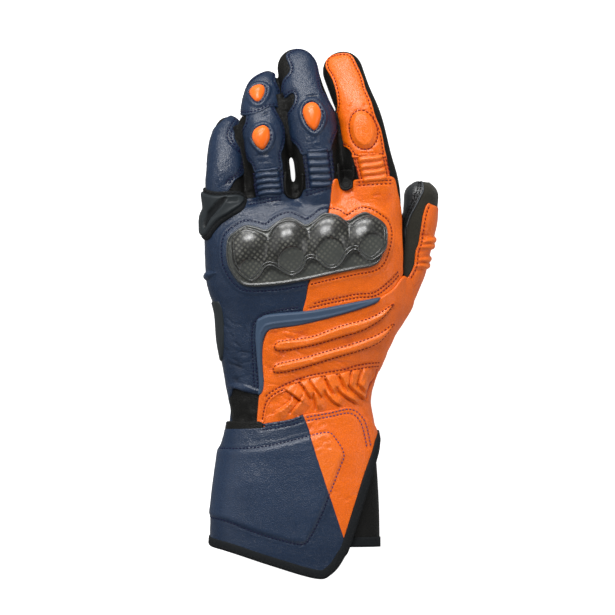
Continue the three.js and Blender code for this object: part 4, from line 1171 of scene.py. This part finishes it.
CUFF_TAB = [
    (222, 430), (223.5, 423), (230.6, 420.8), (245, 421), (260.6, 421), (263.5, 425), (262, 429.5),
    (240, 431)]
WEB_PIPING = [
    [(285.5, 172), (285, 184), (286.2, 193.5), (290, 197.3), (295.2, 197.7), (300, 195), (302.4, 188),
     (302.6, 174)],
    [(337.6, 164), (338, 177), (340, 185.2), (343.6, 189), (347.8, 189), (351.3, 186), (353.6, 178),
     (353.6, 166)],
]

GUARD = [
    (226.7, 240.4), (236, 230), (245.8, 224.7), (257, 226.4), (266, 229), (273, 224), (281, 218.8),
    (289.6, 216.8), (298, 219.5), (306, 224), (314, 219.5), (321, 213.8), (327.8, 212.3), (338, 214.5),
    (347, 219.8), (357, 214), (367, 211.8), (380, 219), (386.1, 226.9), (387.8, 237), (382.8, 256.1),
    (374.9, 266.2), (355, 270.5), (332.2, 275.2), (309.8, 280.3), (290, 284), (270.5, 286.4),
    (248.1, 287), (236.8, 280.8), (226.7, 262.9)]
GUARD_PLATEAU = [
    (232, 250), (232.3, 238.5), (239, 231.8), (246.8, 229), (256.8, 231.2), (264.6, 235.2),
    (268.5, 236.4), (271.2, 230.7), (278, 224.5), (289.2, 221.7), (298, 224), (304.8, 228.4),
    (309, 229.8), (314.9, 223.4), (323.8, 218.4), (331.6, 216.7), (340.5, 219), (347.2, 222.9),
    (350.4, 224.8), (354.3, 221.7), (362.9, 217.8), (371.8, 217.3), (379.6, 220.6), (385.2, 227.3),
    (386.4, 238.5), (384.6, 249.6), (379.6, 256.3), (372.9, 261), (366.8, 260.6), (360.2, 256.1),
    (354, 251), (347.8, 254.8), (343.9, 261), (338.3, 267.3), (331.6, 269.7), (323.8, 267.5),
    (317.6, 262), (311.8, 259.4), (307.4, 261), (305.6, 266), (301, 272.4), (292.5, 276.4),
    (284.7, 274.2), (277.4, 269.2), (270.6, 266.4), (266, 268.4), (262.4, 274.6), (256.8, 279.8),
    (251.3, 282), (244.6, 278.7), (237.9, 272), (233.4, 263)]
# Bulge, facet and the facet's radius
GUARD_DOMES = [
    ((248.5, 248), (252, 270.5), 11.5), ((289, 240), (293, 262.5), 14), ((329, 235), (330.6, 255.8), 14),
    ((368.5, 236), (371.5, 249.5), 12)]

PINKY_SLIDER = [
    (205, 187), (216, 191.5), (236, 191), (245, 195), (247, 202), (243.6, 210), (233, 217), (222, 224),
    (215, 232), (210, 239), (205, 240), (198, 233), (194, 223), (193, 210), (197, 194)]
HEEL_SLIDER = [
    (216, 301), (221, 305), (224, 325), (224, 345), (222, 360), (214, 358), (206, 345), (202, 325),
    (206, 305)]
RIB_TOP = [
    (257, 320.5), (260.5, 317.5), (270, 314), (303.2, 311), (323.1, 308), (377, 297.4), (379.5, 299),
    (372.8, 304.9), (339.7, 315.7), (303.2, 324.8), (275, 329), (268, 332), (264.5, 340), (263.6, 352.5),
    (264, 370), (265, 385), (262.5, 394), (258, 394), (259, 384), (257, 361), (255.4, 333)]

RIB_CREST = [
    (261, 386), (260.6, 352), (261, 336), (264, 328.5), (270, 324), (303, 319.8), (319.8, 317.4),
    (345, 311.5), (373, 302)]
SLIDER_SLOT = [
    (204.5, 224), (208, 214), (214, 206), (221, 199), (227, 197), (223.5, 204), (216, 213), (210, 221),
    (206, 229)]


def outline_on(chart, points, step=0.7, lift=1.0):
    """A smooth closed outline on a chart, from plan points in the grid, running anticlockwise."""
    st = smooth_closed(chart.st(spots(points), lift), step)
    area = np.sum(st[:, 0] * np.roll(st[:, 1], -1) - st[:, 1] * np.roll(st[:, 0], -1))
    return st if area > 0 else st[::-1]


def line_on(chart, points, step=0.7):
    return open_curve(chart.st(spots(points)), step)


HAND_CHART = hand_chart(BASE_GROW, 94.0, -140.0, True)
FLAP_CHART = hand_chart(FLAP_CLEARANCE, 0.0, -163.0, False)
CHARTS = {name: digit_chart(name, onto_body=(name == "thumb")) for name in DIGITS}


def piece(panel, name, look, slot, *nodes):
    obj = dress(panel.build(name), LOOKS[look], slot, *nodes)
    lay_stitches(panel)
    return obj


def surround(panel, chart, outer, inner, thread):
    """A raised ring of leather round a hard insert, sewn half way."""
    ring = outline_on(chart, outer, 0.7, 1.8)
    hole = outline_on(chart, inner, 0.7, 2.0)
    panel.mound(ring, 1.0, 1.6)
    panel.mound(hole, -0.5, 0.8)
    sew(panel, inset(ring, 2.0, 0.6), thread, closed=True, pitch=2.1, length=1.6, groove=0.4, width=0.6)


def insert(name, chart, outline, node, thick=3.4):
    ring = outline_on(chart, outline, 0.5, 2.0)
    shell = Panel(chart, ring, thick=thick, edge=5.0, spacing=0.6, base=0.9)
    shell.sink = 2.4
    return piece(shell, name, "insert", "orange_insert", node)


def edge_rows(panel, distances, thread, start=None, end=None):
    """Rows of stitches that follow a panel's edge, between two plan points or all the way round."""
    for distance in distances:
        path = inset(panel.outline, distance, 0.7)
        if start is None:
            sew(panel, path, thread, closed=True)
        else:
            sew(panel, stretch_of(path, *panel.chart.st(spots([start, end]))), thread)


def finger_back(chart, points, size, seed):
    """The leather over a finger, with waves of a size in it and finer ones."""
    back = Panel(chart, outline_on(chart, points))
    back.waves(size, 0.1, seed)
    back.waves(3.4, 0.03, seed + 1)
    return back


def middle_back():
    chart = CHARTS["middle"]
    back = finger_back(chart, MIDDLE_BACK, 11.0, 3)
    back.wrinkles((314, 142), (10, 5), 0, 7, 201, depth=0.22)
    back.wrinkles((314, 97), (9, 3), 0, 5, 202)
    surround(back, chart, MIDDLE_SURROUND, MIDDLE_INSERT, "navy")
    edge_rows(back, [1.7], "navy", (333, 144.8), (301, 153))
    back.groove(line_on(chart, [(303.3, 97.6), (309, 95.8), (315, 95.6), (320.2, 97)]), 0.5, 0.8, fade=3)
    piece(back, "middle_back_panel", "navy", "navy_leather", "middle_back")
    insert("middle_shell", chart, MIDDLE_INSERT, "insert_middle")


def ring_back():
    chart = CHARTS["ring"]
    back = finger_back(chart, RING_BACK, 10.0, 13)
    back.wrinkles((263, 158), (10, 5), 0, 9, 203)
    back.wrinkles((262, 115), (11, 3), 8, 7, 204)
    surround(back, chart, RING_SURROUND, RING_INSERT, "navy")
    edge_rows(back, [1.7], "navy")
    piece(back, "ring_back_panel", "navy", "navy_leather", "ring_back")
    insert("ring_shell", chart, RING_INSERT, "insert_ring")


def ring_tip():
    chart = CHARTS["ring"]
    tip = Panel(chart, outline_on(chart, RING_TIP), base=0.55)
    tip.waves(10.0, 0.1, 17)
    surround(tip, chart, RING_TIP_SURROUND, RING_TIP_INSERT, "navy")
    edge_rows(tip, [1.7], "navy")
    piece(tip, "ring_tip_panel", "navy", "navy_leather")
    insert("ring_tip_shell", chart, RING_TIP_INSERT, "insert_ring_tip", thick=3.6)


def index_back():
    chart = CHARTS["index"]
    back = finger_back(chart, INDEX_BACK, 11.0, 23)
    back.wrinkles((356, 108), (12, 6), 0, 12, 205, depth=0.26)
    back.wrinkles((368, 152), (12, 3), 0, 6, 206)
    oval_middle = chart.st(spots([(363.2, 130.3)]))[0]
    turn = np.linspace(0, 2 * np.pi, 60, endpoint=False)
    unit_oval = np.stack([np.cos(turn), np.sin(turn)], axis=1) * GRID
    back.mound(oval_middle + unit_oval * (10.6, 16), 1.5, 3.0)
    back.groove(oval_middle + unit_oval * (10, 15.4), 0.4, 0.45, closed=True)
    sew(back, oval_middle + unit_oval * (13.9, 18.4), "maroon", closed=True, pitch=2.2, length=1.7)
    edge_rows(back, [1.7], "maroon")
    piece(back, "index_back_panel", "orange", "orange_leather", "index_back", "insert_index")


def pinky_back():
    chart = CHARTS["pinky"]
    back = finger_back(chart, PINKY_BACK, 12.0, 33)
    back.wrinkles((222, 176), (9, 8), 60, 6, 207, depth=0.22)
    seam = line_on(chart, PINKY_SEAM)
    for shift in (-2.0, -4.2):
        sew(back, seam + (shift, 0), "navy")
    piece(back, "pinky_back_panel", "navy", "navy_leather", "pinky_back")


def stretch(finger, outline, look, thread, count):
    """The pleated panel at a finger's root: crosswise puffs between two double seams."""
    chart = CHARTS[finger]
    panel = Panel(chart, outline_on(chart, outline), base=-0.3)
    low, high = panel.outline.min(axis=0), panel.outline.max(axis=0)
    pitch = (high[1] - low[1] - 3.5) / count
    left, right = low[0] + 2.6, high[0] - 2.6

    def puffs(st, d):
        across = smoothstep((st[:, 0] - left) / 2.2) * smoothstep((right - st[:, 0]) / 2.2)
        bend = st[:, 1] - low[1] - 1.0 + 0.4 * np.sin(st[:, 0] * 0.35)
        # The valleys lie a little below the panel, and the leather paints shade in them.
        return 1.9 * across * np.abs(np.sin(np.pi * bend / pitch)) ** 0.75 - 0.3

    panel.extra(puffs)
    ends = (low[1] + 1.5, (low[1] + high[1]) / 2, high[1] - 1.5)
    for x in (low[0] + 1.1, low[0] + 2.7, high[0] - 1.1, high[0] - 2.7):
        sew(panel, open_curve([(x, y) for y in ends], 0.7), thread, length=1.6)
    piece(panel, f"{finger}_stretch_panel", look, f"{look}_leather", f"{finger}_stretch")


def hand_navy():
    chart = HAND_CHART
    navy = Panel(chart, outline_on(chart, HAND_NAVY))
    navy.waves(20.0, 0.25, 41, clear=5)
    navy.waves(6.0, 0.04, 42)
    navy.wrinkles((238, 372), (22, 24), -20, 30, 208, depth=0.4)
    navy.wrinkles((225, 340), (22, 30), -35, 18, 209)
    navy.wrinkles((266, 207), (20, 6), 0, 8, 210, depth=0.24)
    navy.folds([line_on(chart, [(202, 278), (208, 275), (216, 273)])], 1.7, 2.2)
    navy.folds([line_on(chart, [(228, 386), (236, 386.5), (246, 388.5), (259, 391)])], 1.2, 2.4)
    guard_lip = outline_on(chart, GUARD)
    navy.mound(inset(guard_lip, -4.2), 0.6, 2.6)
    for down in (2.8, 6.0):
        for run in ([(249, 198), (267, 196), (282, 194)], [(305, 189.8), (318, 186.3), (332, 182.2)]):
            sew(navy, line_on(chart, [(x, y + down) for x, y in run]), "navy")
    edge_rows(navy, [1.8, 3.9], "navy", (260.5, 388), (303.5, 313))
    sew(navy, inset(guard_lip, -2.4), "navy", closed=True)
    piece(navy, "hand_back_navy_panel", "navy", "navy_leather", "hand_back_navy")


def hand_orange():
    chart = HAND_CHART
    guard_lip = outline_on(chart, GUARD)
    orange = Panel(chart, outline_on(chart, HAND_ORANGE), base=0.25)
    orange.waves(20.0, 0.2, 51, clear=5)
    orange.waves(6.0, 0.04, 52)
    orange.wrinkles((360, 197), (18, 7), 0, 9, 211, depth=0.24)
    orange.mound(inset(guard_lip, -4.2), 0.6, 2.6)
    for down in (2.8, 6.0):
        run = [(357, 179.8), (375, 178.5), (392, 177.6)]
        sew(orange, line_on(chart, [(x, y + down) for x, y in run]), "maroon")
    edge_rows(orange, [3.2, 5.2], "maroon", (303.6, 312), (402, 280))
    sew(orange, inset(guard_lip, -2.4), "maroon", closed=True)
    piece(orange, "hand_back_orange_panel", "orange", "orange_leather", "hand_back_orange")


def guard():
    """The moulded knuckle guard: a rimmed plate, and on it four domes in one block with round facets."""
    chart = HAND_CHART
    shell = Panel(chart, outline_on(chart, GUARD, 0.5, 2.5), thick=2.2, edge=1.2, spacing=0.55, base=0.8)
    shell.sink = 2.2
    block = outline_on(chart, GUARD_PLATEAU, 0.5, 4.0)
    domes = []
    for crown, facet, radius in GUARD_DOMES:
        domes.append((chart.st(spots([crown]), 6.0)[0], chart.st(spots([facet]), 5.0)[0], radius * GRID))

    def parts(st):
        gap, _ = nearest_on(st, block, True)
        inside = np.where(within(st, block), gap, 0)
        side = np.sqrt(1 - (1 - np.minimum(inside / 1.9, 1)) ** 2)
        bulge = np.zeros(len(st))
        for crown, _, _ in domes:
            r = np.linalg.norm((st - crown) / (11.5, 14.0), axis=1)
            bulge = np.maximum(bulge, 4.2 * np.clip(1 - r ** 2, 0, 1))
        total = side * (3.4 + bulge)
        facets = np.zeros(len(st))
        for _, facet, radius in domes:
            away = st - facet
            cut = 2.7 + away[:, 1] / radius * 2.1
            cut = np.maximum(cut, 0.9) + np.maximum(np.linalg.norm(away, axis=1) - radius, 0) * 4.0
            facets = np.maximum(facets, (cut < total) * (np.linalg.norm(away, axis=1) < radius))
            total = np.minimum(total, np.where(inside > 0, cut, total))
        return gap, inside, total, facets

    def relief(st, d):
        gap, inside, total, _ = parts(st)
        total += 0.5 * np.exp(-(((gap - 0.7) / 0.5) ** 2)) * (inside > 0)
        total += 0.55 * np.exp(-(((d - 1.6) / 0.5) ** 2)) * (d > 0) * (inside <= 0)
        return total

    # Painted reflection: how grey the carbon is, full on the round facets and nearly full on the plate
    # round the block.
    def flat(st):
        _, inside, _, facets = parts(st)
        return np.maximum(facets, 0.9 * (inside <= 0))

    shell.flat = flat
    shell.extra(relief)
    piece(shell, "knuckle_guard_shell", "carbon", "carbon", "knuckle_guard")
    for name, path, radius in (
        ("guard_rim", inset(shell.outline, 1.5, 0.7), 0.42),
        ("guard_block_rim", inset(block, 0.9, 0.7), 0.38),
        ("guard_crown_rim", inset(block, 2.6, 0.7), 0.3),
    ):
        path = np.vstack([path, path[:1]])
        at, normal = chart.at(path)
        lift, _ = shell.relief(path)
        section = rounded(2 * radius, 2 * radius, 2.0, 8)
        sweep(name, at + normal * lift[:, None], normal, section, "rim", "carbon")


def web():
    chart = HAND_CHART
    cord = rounded(1.8, 1.8, 2.0, 10)
    for index, points in enumerate(WEB_PIPING):
        at, normal = chart.at(line_on(chart, points, 0.8))
        centre = at + normal * (0.9 + 0.5 * index)
        sweep(f"web_piping_{index + 1}", centre, normal, cord, "black", "black_leather")
    tongue = Panel(chart, outline_on(chart, WEB_TONGUE), thick=0.5, base=1.15)
    tongue.sink = 2.4
    piece(tongue, "web_tongue", "black", "black_leather")


def wrist_gathers():
    chart = HAND_CHART
    gathers = Panel(chart, outline_on(chart, GATHERS), base=1.0, spacing=0.55)
    gathers.sink = 2.4
    gathers.waves(9.0, 0.12, 61, clear=2)
    gathers.wrinkles((283, 404), (12, 12), -30, 10, 212)
    gathers.wrinkles((368, 378), (12, 14), 70, 8, 213)
    gathers.pleats([line_on(chart, points) for points in GATHER_PLEATS], 2.6, 7.5, 0.9)
    gathers.pleats([line_on(chart, points) for points in GATHER_SPIKES], 2.8, 6.0, 0.9)
    for points in GATHER_PLEATS + GATHER_SPIKES:
        gathers.groove(line_on(chart, [(x - 1.3, y + 0.8) for x, y in points]), 1.1, 0.55, fade=2.5)
    for points in GATHER_CREASES:
        gathers.groove(line_on(chart, points), 0.7, 0.6, fade=2.0)
    gathers.groove(line_on(chart, [(377, 366), (374, 376), (368.5, 386), (365, 398)]), 1.3, 1.0)
    piece(gathers, "wrist_gathers", "orange", "orange_leather")


def wrist_panel():
    chart = HAND_CHART
    panel = Panel(chart, outline_on(chart, WRIST_PANEL), base=1.6)
    panel.sink = 3.0
    panel.waves(14.0, 0.22, 71, clear=4)
    panel.waves(5.0, 0.05, 72)
    panel.wrinkles((290, 332), (26, 8), -15, 16, 214)
    panel.wrinkles((300, 354), (30, 8), -12, 14, 215)
    panel.wrinkles((295, 380), (26, 10), -30, 18, 216, depth=0.4)
    panel.wrinkles((335, 366), (26, 8), -18, 14, 217, depth=0.4)
    panel.wrinkles((272, 360), (14, 24), 60, 10, 218)
    for quilt in (QUILT_UPPER, QUILT_LOWER):
        ring = outline_on(chart, quilt)
        panel.mound(ring, 2.1, 3.2)
        sew(panel, ring, "maroon", closed=True, groove=0.6)
    edge_rows(panel, [1.8, 4.0], "maroon", (264.5, 421), (376.1, 368.5))
    nodes = ("wrist_panel_orange", "quilt_upper", "quilt_lower")
    piece(panel, "wrist_panel", "orange", "orange_leather", *nodes)


def wrist_strap():
    chart = HAND_CHART
    strap = Panel(chart, outline_on(chart, WRIST_OPENING), thick=0.5, base=-0.3)
    strap.sink = 0.6
    strap.waves(9.0, 0.3, 77, clear=1)
    piece(strap, "wrist_strap_band", "black", "black_fabric", "wrist_strap")


def rubber_rib():
    chart = HAND_CHART
    rib = Panel(chart, outline_on(chart, RIB_TOP, 0.5), thick=3.2, edge=1.4, spacing=0.7, base=0.3)
    rib.ridge(line_on(chart, RIB_CREST), 0.55, 0.6)
    piece(rib, "rubber_rib_moulding", "rubber", "blue_rubber", "rubber_rib")


def sliders():
    chart = HAND_CHART
    slider = Panel(chart, outline_on(chart, PINKY_SLIDER, 0.5), thick=2.4, edge=1.3, base=0.3)
    sew(slider, inset(slider.outline, 1.3), "black", closed=True)
    piece(slider, "knuckle_slider_border", "binding", "slider_rubber", "knuckle_slider")
    plate = Panel(chart, inset(slider.outline, 2.5), thick=1.7, edge=1.5, base=2.5)
    plate.mound(outline_on(chart, SLIDER_SLOT, 0.5, 3.0), -1.5, 0.6)
    for k in range(6):
        plate.groove(line_on(chart, [(228 + 1.6 * k, 198.5), (228 + 1.6 * k, 202)]), 0.5, 0.4)
    piece(plate, "knuckle_slider_plate", "slider", "slider_rubber")
    heel = Panel(chart, outline_on(chart, HEEL_SLIDER, 0.5), thick=1.3, edge=1.0, spacing=0.8, base=0.5)
    piece(heel, "heel_slider_moulding", "slider", "slider_rubber", "heel_slider")


def flap():
    chart = FLAP_CHART
    pad = outline_on(chart, FLAP_PAD)
    navy = Panel(chart, outline_on(chart, FLAP_NAVY), thick=FLAP_WALL, edge=1.0, spacing=0.9)
    orange = Panel(chart, outline_on(chart, FLAP_ORANGE), thick=FLAP_WALL - 0.45, edge=0.9, spacing=0.9)
    for panel, seed in ((navy, 81), (orange, 91)):
        panel.sink = 0.0
        panel.waves(26.0, 0.22, seed, clear=5)
        panel.waves(7.0, 0.03, seed + 1)
        panel.mound(pad, 1.4, 7.0)
        panel.groove(pad, 0.6, 1.0, closed=True)
    orange.wrinkles((318, 428), (14, 10), 20, 12, 221)
    orange.wrinkles((322, 446), (14, 14), 30, 14, 222)
    orange.wrinkles((352, 505), (16, 30), 35, 12, 223)
    navy.wrinkles((222, 434), (20, 6), -25, 9, 224)
    sew(navy, stretch_of(pad, *chart.st(spots([(308, 436), (330, 492)]))), "navy", groove=0)
    for points in ([(262, 426.5), (289, 421.7), (302, 417.4)], [(262, 430), (289, 425.3), (303, 421)]):
        sew(navy, line_on(chart, points), "navy")
    pad_side = [(308, 436), (327.6, 432), (335, 438), (343.5, 453.6), (340, 466), (330, 492)]
    sew(orange, line_on(chart, pad_side), "purple", groove=0)
    for points in (
        [(306, 417), (330, 412.8), (351, 409.2), (364, 421), (370.5, 446)],
        [(307, 420.6), (330, 416.3), (349.5, 413), (360.5, 423), (366.5, 447)],
    ):
        sew(orange, line_on(chart, points), "purple")
    tab = Panel(chart, outline_on(chart, CUFF_TAB), thick=1.6, edge=1.2, base=0.4)
    piece(tab, "cuff_tab", "black", "black_leather")
    piece(navy, "flap_navy_panel", "navy", "navy_leather", "flap_navy")
    piece(orange, "flap_orange_panel", "orange", "orange_leather", "flap_orange")


def sweep(name, centre, normal, section, look, slot, *nodes):
    """A band of one closed section along a path; section is pairs of across and up."""
    way = np.gradient(centre, axis=0)
    side = unit(np.cross(way, normal))
    up = unit(np.cross(side, way))
    n = len(section)
    points = np.vstack([[c + s * a + u * b for a, b in section] for c, s, u in zip(centre, side, up)])
    faces = bands(len(centre), n)
    faces += [tuple(range(n))[::-1], tuple(range(len(points) - n, len(points)))]
    obj = make_object(name, points, faces)
    outwards(obj)
    return dress(obj, LOOKS[look], slot, *nodes)


def rounded(width, height, round_power=4.0, sides=16):
    a = np.linspace(0, 2 * np.pi, sides, endpoint=False)
    turn = np.stack([power(np.cos(a), 2 / round_power), power(np.sin(a), 2 / round_power)], axis=1)
    return turn * (width / 2, height / 2)


def binding():
    path = line_on(FLAP_CHART, FLAP_EDGE, 1.0)
    at, normal = FLAP_CHART.at(path)
    centre = at + normal * (FLAP_WALL / 2)
    band = rounded(5.6, FLAP_WALL + 1.6)
    sweep("flap_edge_binding", centre, normal, band, "binding", "black_binding", "flap_binding")
    marks = resample(path, 2.3)
    middle = (marks[:-1] + marks[1:]) / 2
    way = unit(marks[1:] - marks[:-1])
    across = np.stack([-way[:, 1], way[:, 0]], axis=1)
    slant = way + across * np.where(np.arange(len(way)) % 2, 0.9, -0.9)[:, None]
    here, up = FLAP_CHART.at(middle + across * 1.2)
    ahead = FLAP_CHART.at(middle + across * 1.2 + unit(slant) * 0.4)[0]
    add_stitches("black", here + up * (FLAP_WALL + 0.62), ahead - here, up, 1.9, 0.3)


def tube(name, grow_out, grow_in, start, end, look, node):
    """A sleeve between two skins round the cuff, open at both ends."""
    run = np.arange(start, end - 0.1, -1.5)
    rings = [hand_ring(hand_row(y), grow_out, SLEEVE_SIDES) for y in run]
    rings += [hand_ring(hand_row(y), grow_in, SLEEVE_SIDES) for y in run[::-1]]
    obj = make_object(name, np.vstack(rings), bands(len(rings), SLEEVE_SIDES, around=True))
    outwards(obj)
    return dress(obj, LOOKS[look], "black_fabric", node)


def cuff():
    """The inner sleeve, open at its end, and its hem."""
    end = -CUFF_LENGTH
    tube("inner_sleeve", -0.9, -2.6, 6.0, end, "fabric", "inner_cuff")
    tube("sleeve_hem", -0.1, -2.9, end + 6.0, end - 0.6, "binding", "cuff_hem")


def thumb():
    chart = CHARTS["thumb"]
    gloss = Panel(chart, outline_on(chart, THUMB_GLOSS))
    gloss.waves(9.0, 0.1, 101)
    seam = line_on(chart, THUMB_SEAM)
    for shift in (-1.7, -3.6):
        sew(gloss, seam + (shift, 0), "black", length=1.6)
    piece(gloss, "thumb_gloss_panel", "gloss", "black_leather", "thumb_tip_panel")
    at, normal = chart.at(seam)
    cord = rounded(0.7, 0.7, 2.0, 10)
    sweep("thumb_seam_piping", at + normal * 1.1, normal, cord, "piping", "black_leather")
    suede = Panel(chart, outline_on(chart, THUMB_SUEDE), base=-0.1)
    suede.waves(10.0, 0.1, 111)
    piece(suede, "thumb_suede_panel", "suede", "black_leather", "thumb_stretch")
    orange = Panel(chart, outline_on(chart, THUMB_ORANGE), base=0.35)
    orange.waves(12.0, 0.2, 121)
    orange.folds([line_on(chart, points) for points in THUMB_FOLDS], 1.9, 2.0)
    orange.wrinkles((424, 225), (10, 16), 20, 8, 231)
    orange.wrinkles((416, 285), (14, 16), 40, 10, 232, depth=0.4)
    for points in (
        [(418, 232), (425, 235), (431, 234)],
        [(416, 249), (422, 251), (427, 249)],
        [(414, 268), (419, 270), (424, 268)],
    ):
        orange.groove(line_on(chart, points), 0.5, 1.0, fade=3.0)
    edge_rows(orange, [1.7], "maroon", (427.7, 204), (404.5, 283))
    piece(orange, "thumb_orange_panel", "orange", "orange_leather", "thumb_back")


def hollow_out():
    """Cuts the hand's room out of the black body, through its wrist."""
    room = fused("glove_room", glove_lofts(ROOM_GROW, overrun=30.0), 1.6, 5, 0.4)
    apply_modifier(body, "BOOLEAN", operation="DIFFERENCE", solver="MANIFOLD", object=room)
    bpy.data.objects.remove(room)


middle_back()
ring_back()
ring_tip()
index_back()
pinky_back()
stretch("middle", MIDDLE_STRETCH, "navy", "navy", 5)
stretch("ring", RING_STRETCH, "navy", "navy", 4)
stretch("index", INDEX_STRETCH, "orange", "maroon", 4)
hand_navy()
hand_orange()
guard()
web()
wrist_gathers()
wrist_panel()
wrist_strap()
rubber_rib()
sliders()
flap()
binding()
cuff()
thumb()
hollow_out()
finish_threads()
fronts = [finger + "_front" for finger in ("pinky", "ring", "middle", "index", "thumb")]
dress(body, LOOKS["black"], "black_leather", "palm", *fronts)


# Light, floor and camera


FLOOR_REACH, FLOOR_DROP = 15000, 0.4
LOOK_AT = Vector((0, 0, 0.02))
# name, place, size and power
LIGHTS = [
    ("key", (-0.3, 1.0, 1.15), (1.0, 0.4), 19.5),
    ("rim", (-0.2, 1.55, 0.65), (1.6, 0.3), 18.0),
    ("left", (-1.3, 0.3, 0.85), (1.6, 0.8), 3.5),
    ("right", (1.2, -0.1, 0.8), (1.2, 0.3), 3.0),
    ("front", (0.3, -1.2, 1.0), (1.2, 0.3), 3.0),
]


def lay_floor():
    corners = [(-1, -1), (1, -1), (1, 1), (-1, 1)]
    points = [(x * FLOOR_REACH, y * FLOOR_REACH, -FLOOR_DROP) for x, y in corners]
    floor = make_object("floor", points, [(0, 1, 2, 3)], smooth=False)

    def build(tree, shader):
        where = add(tree, "ShaderNodeTexCoord").outputs["Object"]
        cloud = add(tree, "ShaderNodeTexNoise", None, Vector=where, Scale=3.0).outputs[0]
        tone = mixed(tree, cloud, (0.5, 0.5, 0.5, 1), (0.52, 0.52, 0.52, 1))
        glow = dict(Emission_Color=(1, 1, 1, 1), Emission_Strength=1.0)
        set_inputs(tree, shader, Base_Color=tone, Roughness=0.9, **glow)

    floor.data.materials.append(paint("pale_floor", build))
    floor.visible_glossy = False


def light_up():
    world = bpy.data.worlds.new("studio")
    world.use_nodes = True
    world.node_tree.nodes["Background"].inputs[0].default_value = (1, 1, 1, 1)
    world.node_tree.nodes["Background"].inputs[1].default_value = 0.2
    bpy.context.scene.world = world
    for name, place, size, energy in LIGHTS:
        lamp = bpy.data.lights.new(name, "AREA")
        lamp.shape = "RECTANGLE"
        lamp.size, lamp.size_y = size
        lamp.energy = energy
        obj = bpy.data.objects.new(name, lamp)
        obj.location = place
        obj.rotation_euler = (LOOK_AT - Vector(place)).to_track_quat("-Z", "Y").to_euler()
        bpy.context.scene.collection.objects.link(obj)


def place_camera():
    lens = bpy.data.cameras.new("camera")
    lens.lens, lens.sensor_width = 600.0, 36.0
    lens.clip_end = 60.0
    camera = bpy.data.objects.new("camera", lens)
    camera.location = (-0.0066, 0.0033, 6.175)
    bpy.context.scene.collection.objects.link(camera)
    bpy.context.scene.camera = camera
    bpy.context.scene.view_settings.view_transform = "Standard"


lay_floor()
light_up()
place_camera()
